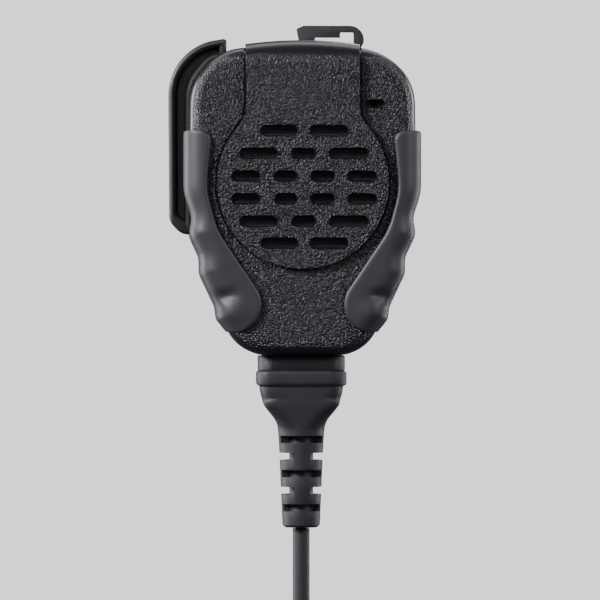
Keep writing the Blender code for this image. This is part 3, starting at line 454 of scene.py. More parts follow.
band = worked(
    relief((0.0, -20.0), (0.0, -7.0)),
    ("INTERSECT", as_mesh(levels(BAND_LIMIT, roll_steps(BAND_Y, 1, -6.5, 0.0, BAND_ROLL), step=2.0))),
    softened(BAND_BREAK, 4, 50),
    ("DIFFERENCE", as_mesh(levels(BODY, roll_steps(FRONT_Y + 1.0, 1, -1.0, -1.0, ROLL - 1.0)))),
)
groove = worked(
    relief((GROOVE, -20.0), (GROOVE, -7.2)),
    ("DIFFERENCE", as_mesh(levels(BODY, roll_steps(FRONT_Y + 0.6, 1, -3.0, -0.6, ROLL - 0.4)))),
)
slots = []
for mid_z, spans in SLOT_ROWS:
    for low, high in spans:
        slots.append(((low + high) / 2, 0.0, mid_z, 0.0, (high - low - SLOT_HIGH) / 2))
grille_cuts = copies(slot_cutter(SLOT_HIGH / 2, BAND_Y, -9.0), (0, 1, 0), slots)
mic_x, mic_z, mic_wide, mic_high = MIC_SLOT
mic_spot = [(mic_x, 0.0, mic_z, 0.0, (mic_wide - mic_high) / 2)]
mic_cut = copies(slot_cutter(mic_high / 2, FRONT_Y, -9.0), (0, 1, 0), mic_spot)
room_section = [(-4, -TROUGH_HALF - GAP), (-4, TROUGH_HALF + GAP)]
room_section += [(4.5, TROUGH_HALF + GAP), (4.5, -TROUGH_HALF - GAP)]
trough_room = as_mesh(swept(flank(GAP), room_section))
port_corners = [(10.4, -43, 0.5), (10.4, -52, 0.5), (-10.4, -52, 0.5), (-10.4, -43, 0.5)]
cable_port = as_mesh(levels(port_corners, [(0.0, -5.9), (0.0, 5.9)]))
front = worked(
    as_mesh(cup(FRONT_Y, -SEAM_HALF)),
    ("DIFFERENCE", groove),
    ("UNION", band),
    ("DIFFERENCE", grille_cuts),
    ("DIFFERENCE", mic_cut),
    ("DIFFERENCE", trough_room.copy()),
    ("DIFFERENCE", cable_port.copy()),
)

boss_profile = [(0, 10.5), (11, 10.5), (11, 13.8), (10.8, 14.3), (10.3, 14.6), (0, 14.6)]
boss = as_mesh(turned(boss_profile, (SWIVEL[0], 0, SWIVEL[1]), sides=72))
wells = bmesh.new()
for x, z in CASE_SCREWS:
    profile = [(0, 10.4), (2.8, 10.4), (2.8, 12.5), (3.0, 12.85), (3.6, 13.2), (3.6, 16), (0, 16)]
    turned(profile, (x, 0, z), bm=wells)
rear = worked(
    as_mesh(cup(BACK_Y, SEAM_HALF)),
    ("UNION", boss),
    ("DIFFERENCE", as_mesh(wells)),
    ("DIFFERENCE", trough_room),
    ("DIFFERENCE", cable_port),
)
for mesh in (front, rear):
    grain = mesh.attributes.new("grain", "FLOAT", "FACE")
    for face, value in zip(mesh.polygons, grain.data):
        on_face = (abs(face.normal.y) - 0.55) / 0.4
        below_roll = (35.5 - face.center.z) / 3.0
        value.value = max(0.0, min(1.0, on_face, below_roll))

# Moulded ABS, semi-gloss. The grain is etched into the mould: pebbles about 0.6 mm across with fine wrinkles
# between them, which catch small highlights.
GRAIN = 0.6 * MM
grained_abs, tree, shader = new_material("grained_abs", {"Base Color": linear("#131316"), "IOR": 1.53})
coords = add(tree, "ShaderNodeTexCoord").outputs["Object"]
drift = add(tree, "ShaderNodeTexNoise", {"Vector": coords, "Scale": 0.6 / GRAIN, "Detail": 2.0})
far = add(tree, "ShaderNodeVectorMath", {0: drift.outputs["Color"], 1: (GRAIN,) * 3}, operation="MULTIPLY")
bent = add(tree, "ShaderNodeVectorMath", {0: coords, 1: far.outputs[0]}, operation="ADD")
pebbles = {"Vector": bent.outputs[0], "Scale": 1 / GRAIN, "Smoothness": 0.35}
pebbles = add(tree, "ShaderNodeTexVoronoi", pebbles, feature="SMOOTH_F1")
wrinkles = add(tree, "ShaderNodeTexNoise", {"Vector": coords, "Scale": 1.9 / GRAIN, "Detail": 3.0})
height = {0: pebbles.outputs["Distance"], 1: -1.6, 2: wrinkles.outputs["Fac"]}
height = add(tree, "ShaderNodeMath", height, operation="MULTIPLY_ADD")
amount = add(tree, "ShaderNodeAttribute", attribute_name="grain")
raised = {0: height.outputs[0], 1: amount.outputs["Fac"]}
raised = add(tree, "ShaderNodeMath", raised, operation="MULTIPLY")
bump = add(tree, "ShaderNodeBump", {"Height": raised.outputs[0], "Strength": 1.0, "Distance": 0.4 * MM})
tree.links.new(bump.outputs[0], shader.inputs["Normal"])
shine = {"Value": wrinkles.outputs["Fac"], "To Min": 0.22, "To Max": 0.36}
tree.links.new(add(tree, "ShaderNodeMapRange", shine).outputs[0], shader.inputs["Roughness"])

finished("front_cover_moulding", front, grained_abs, "housing", "housing_plastic", "front_cover")
finished("rear_cover_moulding", rear, grained_abs, "housing", "housing_plastic", "rear_cover")


def dress(material, *names):
    """Gives CAD nodes that stay as they are their material."""
    for name in names:
        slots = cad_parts[name].data.materials
        slots.clear()
        slots.append(material)


def mottled(name, dark, light, size, rough, bump_height, **values):
    """A material whose colour, roughness and fine relief vary with one noise of that size in millimetres."""
    named = {key.replace("_", " ").title().replace("Ior", "IOR"): value for key, value in values.items()}
    material, tree, shader = new_material(name, named)
    coords = add(tree, "ShaderNodeTexCoord").outputs["Object"]
    noise = add(tree, "ShaderNodeTexNoise", {"Vector": coords, "Scale": 1 / (size * MM), "Detail": 4.0})
    mix = add(tree, "ShaderNodeMix", data_type="RGBA")
    tree.links.new(noise.outputs["Fac"], mix.inputs[0])
    mix.inputs[6].default_value, mix.inputs[7].default_value = linear(dark), linear(light)
    tree.links.new(mix.outputs[2], shader.inputs["Base Color"])
    shine = {"Value": noise.outputs["Fac"], "To Min": rough[0], "To Max": rough[1]}
    tree.links.new(add(tree, "ShaderNodeMapRange", shine).outputs[0], shader.inputs["Roughness"])
    relief = {"Height": noise.outputs["Fac"], "Distance": bump_height * MM, "Strength": 0.6}
    tree.links.new(add(tree, "ShaderNodeBump", relief).outputs[0], shader.inputs["Normal"])
    return material


# Grille screen. A disc of black polyester cloth, woven at about 2.5 threads to the millimetre and stuck
# behind the slots, keeps dust off the loudspeaker. The weave is too fine to show, so it is drawn at twice its
# spacing.
THREAD = 0.8
cloth, tree, shader = new_material("woven_polyester", {"Base Color": linear("#2b2b2e"), "Roughness": 0.4})
coords = add(tree, "ShaderNodeTexCoord").outputs["Object"]
warp, weft = [
    add(
        tree,
        "ShaderNodeTexWave",
        {"Vector": coords, "Scale": 0.314 / (THREAD * MM), "Distortion": 0.4, "Detail": 1.0},
        bands_direction=direction,
    )
    for direction in ("X", "Z")
]
weave = add(tree, "ShaderNodeMath", {0: warp.outputs["Fac"], 1: weft.outputs["Fac"]}, operation="MULTIPLY")
relief_in = {"Height": weave.outputs[0], "Distance": 0.1 * MM, "Strength": 0.7}
tree.links.new(add(tree, "ShaderNodeBump", relief_in).outputs[0], shader.inputs["Normal"])
dress(cloth, "grille_screen")


# Inner works. The loudspeaker, the microphone capsule, the board with its wiring and the switch are closed in
# by the covers. They keep their plain shapes, each with the finish that its part has as bought.
INNER_FINISHES = {
    # Steel, zinc plated and stamped or drawn: bright, with faint rolling marks.
    "zinc_plated_steel": (
        ("#8f9092", "#a9aaac", 0.8, (0.25, 0.4), 0.01, {"metallic": 1.0}),
        ("filter_can", "board_screw_1", "board_screw_2", "clamp_screw_1", "clamp_screw_2"),
    ),
    # Glass-fibre board under a green solder mask: glossy, with the cloth's slight waves.
    "solder_masked_board": (("#0c3f26", "#115034", 1.2, (0.25, 0.35), 0.02, {}), ("circuit_board",)),
    # Cut foam: matt and open-celled.
    "cut_foam": (("#161616", "#262626", 0.6, (0.9, 1.0), 0.3, {}), ("speaker_gasket", "speaker_pad")),
    # Pressed paper pulp: matt, with fibres.
    "paper_pulp": (("#1c1916", "#2c2722", 0.9, (0.8, 0.95), 0.1, {}), ("speaker_cone",)),
    # Steel pressings under black paint, and the felt that faces the capsule: dark and dull.
    "black_paint": (("#141414", "#1d1d1d", 0.8, (0.6, 0.75), 0.02, {}), ("speaker_basket", "mic_capsule")),
    # Sintered ferrite: dark grey, slightly rough from grinding.
    "ground_ferrite": (("#2f2f31", "#3d3d3f", 0.5, (0.45, 0.65), 0.03, {}), ("speaker_magnet",)),
    # Enamelled copper wire on a former.
    "enamelled_copper": (
        ("#8a4a22", "#b0682e", 0.4, (0.25, 0.4), 0.02, {"metallic": 0.9}),
        ("speaker_coil",),
    ),
    # Moulded nylon: off white, waxy.
    "moulded_nylon": (
        ("#cfcabd", "#ddd9cd", 1.5, (0.4, 0.55), 0.02, {"subsurface_weight": 0.1}),
        ("cable_header", "cable_socket", "ptt_plunger"),
    ),
    # Epoxy package: matt black.
    "epoxy_package": (
        ("#141415", "#1e1e1f", 0.5, (0.5, 0.65), 0.03, {}),
        ("audio_chip", "ptt_switch", "cable_clamp"),
    ),
    # Extruded PVC insulation in its three colours.
    "red_insulation": (
        ("#8e1717", "#a81f1d", 1.5, (0.35, 0.5), 0.01, {}),
        ("cable_wire_red", "speaker_wire_red"),
    ),
    "white_insulation": (
        ("#cfcfca", "#dededa", 1.5, (0.35, 0.5), 0.01, {}),
        ("cable_wire_white", "speaker_wire_white"),
    ),
    "blue_insulation": (("#18337c", "#20409a", 1.5, (0.35, 0.5), 0.01, {}), ("cable_wire_blue",)),
    # Silicone rubber: matt and dusty.
    "silicone_rubber": (
        ("#19191a", "#232324", 0.8, (0.6, 0.75), 0.02, {}),
        ("mic_boot", "case_seal_long", "case_seal_short"),
    ),
}
for name, ((dark, light, size, rough, bump_height, values), nodes) in INNER_FINISHES.items():
    dress(mottled(name, dark, light, size, rough, bump_height, **values), *nodes)


# Case screws. Four pan-head screws of blackened steel hold the covers together. They are turned, have a
# pressed cross recess, and sit at the bottom of the rear cover's wells.
HEAD_R = 2.4
head_profile = [(0, -6), (0.95, -6), (0.95, 10.7), (2.3, 10.7), (HEAD_R, 10.8), (HEAD_R, 11.5)]
head_profile += [(2.25, 11.9), (1.9, 12.2), (1.3, 12.42), (0.7, 12.49), (0, 12.5)]


def cross(reach, arm, low_y, high_y):
    """A tapered cutter for a cross-shaped driver recess."""
    corners = [(arm, reach), (arm, arm), (reach, arm), (reach, -arm), (arm, -arm), (arm, -reach)]
    outline = corners + [(-x, -z) for x, z in corners]
    rings = []
    for share, y in ((0.55, low_y), (1.0, high_y - 0.5), (1.1, high_y)):
        rings.append([(x * share, y, z * share) for x, z in outline])
    return as_mesh(loft(rings))


head = as_mesh(turned(head_profile, (0, 0, 0)))
head = worked(head, ("DIFFERENCE", cross(1.25, 0.28, 11.4, 13.2)), softened(0.05, 2))
turns = (0.3, 1.1, 0.7, 0.1)
screws = copies(head, (0, 1, 0), [(x, 0.0, z, turn, 0.0) for (x, z), turn in zip(CASE_SCREWS, turns)])
# Steel with a black oxide finish: dark, a little brown, and smooth enough to catch a streak of light.
oxide = mottled("black_oxide_steel", "#1a1817", "#2a2725", 0.5, (0.3, 0.45), 0.01, metallic=1.0)
numbered = [f"case_screw_{number}" for number in range(1, 5)]
finished("case_screw_set", screws, oxide, "housing", "black_steel", *numbered)


# Grips. A soft rubber grip is moulded over each side of the housing. It wraps from the front round to the
# back, has dips for the fingers down its outer side and a thumb dent near its foot, and its edges sink into a
# thin groove.
GRIP_OUTER = [
    (32.7, 14.4, 0.8),
    (32.7, -2.5, 14.0),
    (30.4, -9.5, 6.5),
    (31.3, -14.0, 5.0),
    (28.25, -20.3, 5.5),
    (28.3, -24.7, 5.0),
    (24.0, -33.8, 4.5),
    (23.5, -37.4, 2.5),
    (20.6, -41.0, 1.2),
]
GRIP_INNER = [(11.1, -40.8, 7.5), (11.1, -30.8, 7.5), (23.3, -12.7, 20.0)]
GRIP_INNER += [(26.2, -2.0, 20.0), (24.6, 14.6, 3.0)]
GRIP_FRONT_Y, GRIP_BACK_Y = -14.6, 11.0
GRIP_ROLL = 6.0
GRIP_EDGE = 1.1
GRIP_VOXEL = 0.4
DENT = (20.9, -30.8, 2.6, 1.7, 1.0)
BUMP = (18.6, -35.4, 4.0, 3.0, -0.4)
PADDLE_ROOM = [(-20, 30, 0.1), (-20, -15.3, 0.1), (-45, -15.3, 0.1), (-45, 30, 0.1)]

# Thermoplastic rubber, moulded against a fine blasted surface: satin, with a soft wide highlight and no
# grain.
grip_rubber = mottled("satin_rubber", "#2b292d", "#323033", 3.0, (0.44, 0.52), 0.01)

hollow_steps = roll_steps(FRONT_Y - 0.05, 1, 0.0, 0.12, ROLL)[::-1]
hollow_steps += roll_steps(BACK_Y + 0.05, -1, 0.1, 0.12, ROLL)
hollow = as_mesh(levels(BODY, hollow_steps))
outer = [(32.7, 45.0, 1.0), *GRIP_OUTER[1:-1], (14.8, -48.2, 1.0), (-5.0, -55.0, 1.0), (-5.0, 45.0, 1.0)]
limit_steps = roll_steps(GRIP_FRONT_Y, 1, 0.0, 0.0, GRIP_ROLL)[::-1]
limit_steps += roll_steps(15.0, -1, 0.1, 0.0, GRIP_ROLL)
pad_steps = [(-0.7, GRIP_BACK_Y), (0.0, GRIP_BACK_Y - 0.7)]
pad_steps += roll_steps(GRIP_FRONT_Y, 1, 0.0, 0.0, GRIP_EDGE)[1:]
for side, node in ((1, "right_grip"), (-1, "left_grip")):
    pad = as_mesh(levels(GRIP_OUTER + GRIP_INNER, pad_steps))
    pad = worked(pad, ("INTERSECT", as_mesh(levels(outer, limit_steps))))
    pad.transform(Matrix.Scale(side, 4, (1, 0, 0)))
    if side < 0:
        pad.flip_normals()
    cuts = [("DIFFERENCE", hollow.copy())]
    if side < 0:
        room_steps = [(0.0, -TROUGH_HALF - 0.6), (0.0, TROUGH_HALF + 0.6)]
        cuts.append(("DIFFERENCE", as_mesh(levels(PADDLE_ROOM, room_steps))))
    grip = worked(
        worked(pad, *cuts),
        ("REMESH", {"mode": "VOXEL", "voxel_size": GRIP_VOXEL}),
        ("SMOOTH", {"factor": 0.5, "iterations": 4}),
    )
    for vertex in grip.vertices:
        if vertex.co.y < -6:
            for x, z, wide, tall, depth in (DENT, BUMP):
                away = ((vertex.co.x - side * x) / wide) ** 2 + ((vertex.co.z - z) / tall) ** 2
                vertex.co.y += depth * math.exp(-away)
    finished(node + "_moulding", grip, grip_rubber, "housing", "grip_rubber", node, sharp=60)


# Push to talk. The paddle is a moulded tray that turns on a pin at its top end, in a trough let into the
# housing's left edge, and it presses the switch behind it. Both are black ABS with a fine blasted surface.
PADDLE_HALF = 6.4
PADDLE = [
    (-20.7, 34.2, 0.6),
    (-24.6, 33.4, 5.0),
    (-29.8, 27.0, 10.0),
    (-30.0, -13.9, 0.6),
    (-33.0, -13.9, 4.4),
    (-36.4, -10.3, 4.4),
    (-36.7, 30.6, 14.8),
    (-28.7, 38.6, 14.8),
    (-20.7, 39.9, 0.8),
]
TRAY = [PADDLE[0], PADDLE[1], PADDLE[2], (-30.0, -14.6, 0.6), (-36.5, -9.6, 3.6), *PADDLE[6:]]
TRAY_STEPS = [(-2.4, 2.6), (-2.2, 2.2), (-2.1, 1.4), (-1.9, 0.7), (-1.6, 0.4)]
TRAY_STEPS += [(-1.3, 0.35), (-1.15, 0.0), (-1.1, -2.0)]

# ABS, satin: the pigment is a brownish black, and the blasted mould leaves an even sheen.
moulded_abs = mottled("blasted_abs", "#191615", "#1f1c1b", 1.2, (0.38, 0.5), 0.02, ior=1.53)

edge = [(-0.9, 0.0), (-0.45, 0.12), (-0.12, 0.45), (0.0, 0.9)]
blank = [(out, -PADDLE_HALF + in_y) for out, in_y in edge]
blank += [(out, PADDLE_HALF - in_y) for out, in_y in reversed(edge)]
cuts = []
for side in (-1, 1):
    steps = [(out, side * (PADDLE_HALF - depth)) for out, depth in TRAY_STEPS]
    cuts.append(("DIFFERENCE", as_mesh(levels(TRAY, steps))))
lug = as_mesh(turned([(0, -6.3), (2.2, -6.3), (2.2, 6.3), (0, 6.3)], (-21.5, 0, 33.5)))
nib_outline = [(-27.3, -0.9, 0.1), (-27.3, -3.1, 0.1), (-31.5, -3.1, 0.1), (-31.5, -0.9, 0.1)]
nib = as_mesh(levels(nib_outline, [(0, -1.1), (0, 1.1)]))
paddle = worked(as_mesh(levels(PADDLE, blank)), *cuts, ("UNION", lug), ("UNION", nib))
finished("ptt_paddle_moulding", paddle, moulded_abs, "paddle", "moulded_plastic", "ptt_paddle")

channel = [(0.3, 8), (0.3, 6.9), (5, 6.9), (5, -6.9), (0.3, -6.9), (0.3, -8), (6.2, -8), (6.2, 8)]
trough = as_mesh(swept(flank(), channel))
ends = []
for (spot, inward), way in ((flank()[0], -1), (flank()[-1], 1)):
    along = Vector((-inward.y, inward.x)) * way
    wall_section = [(0.35, -7.9), (0.35, 7.9), (6.1, 7.9), (6.1, -7.9)]
    run = [(spot + along * step, inward) for step in (-0.1, -1.2)]
    ends.append(("UNION", as_mesh(swept(run, wall_section))))
trough = worked(trough, *ends, softened(0.12, 2))
finished("ptt_trough_moulding", trough, moulded_abs, "housing", "moulded_plastic", "ptt_trough")
# Spring wire and pins: drawn steel with a nickel plate, bright with faint draw marks.
bright_steel = mottled("nickel_plated_steel", "#a3a19b", "#b9b7b0", 0.6, (0.18, 0.32), 0.01, metallic=1.0)
dress(bright_steel, "ptt_pin")


def wire(name, points, radius, sides=5):
    """A round wire or cord along points in millimetres, as a curve in the row frame."""
    curve = bpy.data.curves.new(name, "CURVE")
    curve.dimensions = "3D"
    curve.bevel_depth = radius * MM
    curve.bevel_resolution = sides
    curve.use_fill_caps = True
    spline = curve.splines.new("POLY")
    spline.points.add(len(points) - 1)
    for point, spot in zip(spline.points, points):
        point.co = (*place(*spot), 1.0)
        point.radius = 1.0
    obj = bpy.data.objects.new(name, curve)
    bpy.context.scene.collection.objects.link(obj)
    return obj


def sprung(name, points, radius, node):
    """A wound spring along points in millimetres, made as one fixed mesh in the row frame that replaces that
    node.
    """
    line = wire("work", points, radius, 3)
    mesh = bpy.data.meshes.new_from_object(line)
    bpy.data.objects.remove(line)
    mesh.materials.clear()
    mesh.materials.append(bright_steel)
    piece = bpy.data.objects.new(name, mesh)
    bpy.context.scene.collection.objects.link(piece)
    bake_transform(piece)
    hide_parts(node)


SPRING_R, SPRING_Z = 1.9, 9.0
coil = []
for k in range(61):
    angle = math.tau * k / 24
    coil.append((-29.6 + 2.9 * k / 60, SPRING_R * math.cos(angle), SPRING_Z + SPRING_R * math.sin(angle)))
ends = ((-26.9, 0, SPRING_Z), (-29.4, 0, SPRING_Z))
sprung("ptt_spring_wound", coil, 0.25, "ptt_spring")


# Strain relief. One soft moulding on the cable: a flange inside the case, a collar with chamfered corners and
# a rib, and a tapered stem. Slots turned a quarter from row to row leave two struts round a core, so that it
# bends evenly.
BOOT_ROWS = [
    # half x, half y, chamfer, roundness (2 is an ellipse), z
    (11.4, 7.0, 2.0, 24, -42.6),
    (11.4, 7.0, 2.0, 24, -44.6),
    (9.9, 5.4, 1.5, 24, -44.7),
    (9.9, 5.4, 1.5, 24, -47.2),
    (11.8, 7.4, 2.4, 24, -47.3),
    (12.0, 7.6, 2.4, 24, -47.6),
    (12.0, 7.6, 2.4, 24, -51.2),
    (11.8, 7.4, 2.4, 24, -51.4),
    (12.35, 7.95, 2.4, 24, -51.8),
    (12.45, 8.0, 2.4, 24, -52.4),
    (12.45, 8.0, 2.4, 24, -54.6),
    (12.3, 7.9, 2.4, 24, -55.3),
    (11.6, 7.3, 2.3, 24, -55.7),
    (11.5, 7.25, 2.3, 22, -56.2),
    (11.35, 7.2, 2.2, 16, -57.4),
    (10.95, 7.1, 2.1, 10, -59.1),
    (10.3, 7.0, 1.9, 7, -61.0),
    (9.0, 6.8, 1.6, 4.6, -62.8),
    (7.5, 6.6, 1.2, 3.2, -64.7),
    (6.7, 6.45, 0.8, 2.4, -66.4),
    (6.4, 6.3, 0.0, 2, -68.3),
    (6.05, 6.05, 0.0, 2, -74.0),
    (5.25, 5.25, 0.0, 2, -92.4),
    (5.1, 5.1, 0.0, 2, -93.6),
    (4.85, 4.85, 0.0, 2, -94.3),
    (4.4, 4.4, 0.0, 2, -94.7),
]
BOOT_BORE = 2.45
CORE_R = 3.3
STRUT = math.radians(21.5)
NOTCH_HIGH, NOTCH_PITCH, NOTCH_TOP_Z = 2.0, 4.7, -70.4


def soft_ring(half_x, half_y, chamfer, power, z, count=96):
    """A ring between a rectangle with cut corners, at a high power, and an ellipse, at 2."""
    corner = Vector((half_x, half_y))
    slant = Vector((1, 1)).normalized()
    cut_at = corner.dot(slant) - chamfer * 0.75
    points = []
    for k in range(count):
        angle = math.tau * (k + 0.5) / count
        way = Vector((math.cos(angle), math.sin(angle)))
        sides = [abs(way.x) / half_x, abs(way.y) / half_y]
        if chamfer > 0.01:
            sides.append(Vector((abs(way.x), abs(way.y))).dot(slant) / cut_at * min(1, (power - 2) / 8))
        reach = sum(side**power for side in sides) ** (-1 / power)
        points.append((way.x * reach, way.y * reach, z))
    return points


def eased(rows, first, between=4):
    """The rows with more between them from the first on, on a smooth curve through them all."""
    made = list(rows[: first + 1])
    for i in range(first, len(rows) - 1):
        a, b, c, d = [Vector(rows[min(j, len(rows) - 1)]) for j in range(i - 1, i + 3)]
        for k in range(1, between + 1):
            t = k / between
            bend = (2 * a - 5 * b + 4 * c - d) * t * t + (3 * b - a - 3 * c + d) * t**3
            made.append(tuple((2 * b + (c - a) * t + bend) / 2))
    return made


boot = bmesh.new()
rings = [soft_ring(*row) for row in eased(BOOT_ROWS, 12)]
rings += [soft_ring(BOOT_BORE, BOOT_BORE, 0, 2, z) for z in (BOOT_ROWS[-1][4], BOOT_ROWS[0][4])]
ring_rows = [[boot.verts.new(p) for p in ring] for ring in rings]
for a, b in zip(ring_rows, ring_rows[1:] + ring_rows[:1]):
    for i in range(len(a)):
        j = (i + 1) % len(a)
        boot.faces.new((a[i], a[j], b[j], b[i]))
arc = [STRUT + (math.pi - 2 * STRUT) * k / 16 for k in range(17)]
sector = [(math.cos(a) * CORE_R, math.sin(a) * CORE_R) for a in arc]
sector += [(math.cos(a) * 9, math.sin(a) * 9) for a in reversed(arc)]
notch = as_mesh(loft([[(x, y, z) for x, y in sector] for z in (-NOTCH_HIGH / 2, NOTCH_HIGH / 2)]))
spots = []
for row in range(5):
    for side in (0, math.pi):
        spots.append((0.0, 0.0, NOTCH_TOP_Z - NOTCH_PITCH * row, math.pi / 2 * (row % 2) + side, 0.0))
boot = worked(as_mesh(boot), ("DIFFERENCE", copies(notch, (0, 0, 1), spots)), softened(0.22, 3, 50))
# Soft PVC, moulded and matt: a neutral black that has no sharp highlight.
soft_pvc = mottled("matt_pvc", "#1f1d21", "#252327", 2.0, (0.5, 0.6), 0.015)
finished("strain_relief_moulding", boot, soft_pvc, "housing", "cord_rubber", "strain_relief", sharp=50)
dress(soft_pvc, "cable_in_boot")


# Cord. A jacketed cable 4.7 mm thick leaves the boot straight, winds into a tight curl that was set by heat,
# and ends straight in the plug. It hangs from the housing under its own weight.
CORD_R = 2.35
CORD_TOP_Z, CORD_FOOT_Z = -95.0, -257.15
SWAY_TOP_Z, CURL_TOP_Z, CURL_FOOT_Z = -121.0, -137.0, -241.0
CURL_R = 6.6
CURL_PITCH = 4.95
ENTRY = 20.0
ENTRY_STEPS = 40
STEPS_PER_TURN = 24
start = [(0.0, 0.0, CORD_TOP_Z + (SWAY_TOP_Z - CORD_TOP_Z) * k / 10) for k in range(10)]
for k in range(25):
    part = k / 24
    out = part**3 * (10 - 15 * part + 6 * part * part)
    start.append((CURL_R * out, 0.0, SWAY_TOP_Z + (CURL_TOP_Z - SWAY_TOP_Z) * part))
# The cord leans over by degrees from straight down to the curl's own slope.
slope = math.atan2(CURL_PITCH, math.tau * CURL_R)
angle, z = 0.0, CURL_TOP_Z
for k in range(ENTRY_STEPS):
    part = (k + 0.5) / ENTRY_STEPS
    dive = math.pi / 2 + (slope - math.pi / 2) * part * part * (3 - 2 * part)
    angle += math.cos(dive) * ENTRY / ENTRY_STEPS / CURL_R
    z -= math.sin(dive) * ENTRY / ENTRY_STEPS
    start.append((CURL_R, angle, z))
curl_high = z - (CURL_TOP_Z + CURL_FOOT_Z - z)
curl_turn = math.tau * curl_high / CURL_PITCH
count = round(curl_high / CURL_PITCH * STEPS_PER_TURN)
line = start + [(CURL_R, angle + curl_turn * k / count, z - curl_high * k / count) for k in range(1, count)]
whole = 2 * angle + curl_turn
both_ends_z = CURL_TOP_Z + CURL_FOOT_Z
ending = [(out, whole - turn, both_ends_z - height) for out, turn, height in reversed(start[10:])]
line += [*ending, (0.0, 0.0, CORD_FOOT_Z)]
route = [Vector((out * math.sin(turn), -out * math.cos(turn), height)) for out, turn, height in line]

cord = wire("cord_jacket", route, CORD_R, 8)
cord.data.materials.append(soft_pvc)
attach(cord, "housing")
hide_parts("cord_lead", "cord_curl", "cord_tail")


# Plug. A two-pin plug is moulded on the cord's end: a tapered boot, a body with soft edges, and two gilt
# brass pins with a groove near the tip, which snap into the radio's jacks.
boot_rows = [(2.9, 2.9, 0, 2, -257.2), (3.3, 3.3, 0, 2, -258.0), (3.9, 3.8, 0, 2.1, -262.0)]
boot_rows += [(4.6, 4.4, 0, 2.4, -268.0), (4.8, 4.5, 0, 2.6, -268.8)]
plug_boot = as_mesh(loft([soft_ring(*row) for row in boot_rows]))
body_rows = [(4.8, 4.4), (5.6, 5.1), (6.2, 5.6), (6.5, 5.75), (6.6, 5.8)]
body_rows += [(6.6, 5.8), (6.4, 5.65), (5.9, 5.2), (4.8, 4.3)]
downs = (0.0, 0.3, 0.9, 1.8, 3.0, 22.0, 23.9, 25.1, 25.7)
body_rings = [soft_ring(a, b, 0, 4.5, -269.2 - down) for (a, b), down in zip(body_rows, downs)]
sockets = bmesh.new()
pins = []
for z, radius, length in ((-277.0, 1.75, 13.0), (-288.0, 1.25, 11.0)):
    turned([(0, 3.0), (radius + 0.15, 3.0), (radius + 0.15, 9), (0, 9)], (0, 0, z), bm=sockets)
    tip = 5.8 + length
    neck = tip - 2.4
    profile = [(0, 3.3), (radius, 3.3), (radius, neck - 0.8), (radius * 0.86, neck - 0.35)]
    profile += [(radius * 0.7, neck), (radius * 0.72, neck + 0.2), (radius * 0.95, neck + 0.8)]
    profile.append((radius * 0.93, neck + 1.0))
    profile += [(radius * 0.6, tip - 0.45), (radius * 0.3, tip - 0.06), (0, tip)]
    pins.append(as_mesh(turned(profile, (0, 0, z))))
plug_body = worked(as_mesh(loft(body_rings)), ("DIFFERENCE", as_mesh(sockets)))
gilt = mottled("gilt_brass", "#b8923f", "#cda850", 0.5, (0.15, 0.28), 0.005, metallic=1.0)
plug_pieces = [
    finished("plug_boot_moulding", plug_boot, soft_pvc, "housing", "cord_rubber", "plug_boot"),
    finished("plug_body_moulding", plug_body, moulded_abs, "housing", "moulded_plastic", "plug_body"),
    finished("plug_pin_large_turned", pins[0], gilt, "housing", "gilt_brass", "plug_pin_large"),
    finished("plug_pin_small_turned", pins[1], gilt, "housing", "gilt_brass", "plug_pin_small"),
]


# Swivel. A shouldered steel screw holds the clip to the boss on the rear cover, over a nylon washer that lets
# it turn.
centre = (SWIVEL[0], 0, SWIVEL[1])
washer_profile = [(2.6, 14.9), (8.8, 14.9), (9.0, 15.0), (9.0, 15.4), (8.8, 15.5), (2.6, 15.5), (2.6, 14.9)]
washer = as_mesh(turned(washer_profile, centre, sides=72))
nylon = bpy.data.materials["moulded_nylon"]
finished("swivel_washer_disc", washer, nylon, "housing", "nylon", "swivel_washer")
swivel_profile = [(0, 8.4), (1.4, 8.4), (1.4, 14.3), (1.5, 14.9), (2.4, 14.9), (2.4, 17.3), (4.9, 17.3)]
swivel_profile += [(5.0, 17.4), (5.0, 18.1), (4.8, 18.45), (4.3, 18.75), (3.2, 18.95), (0, 19.0)]
recess = cross(2.2, 0.4, 17.9, 19.9)
recess.transform(Matrix.Translation((SWIVEL[0], 0, SWIVEL[1])) @ Matrix.Rotation(0.4, 4, "Y"))
swivel = worked(as_mesh(turned(swivel_profile, centre, sides=64)), ("DIFFERENCE", recess), softened(0.06, 2))
finished("swivel_screw_turned", swivel, bright_steel, "housing", "bright_steel", "swivel_screw")


# Clip. Two jaws pressed from 1.2 mm steel sheet: a base with two ears and a toothed lip, and a lever with two
# cheeks whose upper end is a thumb tab with a window. They turn on a pin, under a wound spring, and are
# coated black.
CLIP_X = 9.0
PLATE = 1.2
BASE_Y = 15.8
BASE_HALF, LEVER_HALF = 9.0, 7.5
BASE_TOP_Z, CLIP_FOOT_Z = 27.0, -20.0
TAB_TOP_Z = 45.3
JAW_Y = 24.2
PIN_Y, PIN_Z = 21.0, 20.0
TEETH = 5
TOOTH = 1.0


def across(outline, low_x, high_x, step=8.0):
    """A solid with an outline of corners (y, z, radius) between two places along X."""
    return as_mesh(loft([[(x, p.x, p.y) for p in rounded(outline, step)] for x in (low_x, high_x)]))


# Steel under a thin electrophoretic black coat: satin, slightly orange-peeled, and thin on the pressed edges.
coated_steel = mottled("black_coated_steel", "#100f10", "#181617", 0.9, (0.48, 0.6), 0.02)

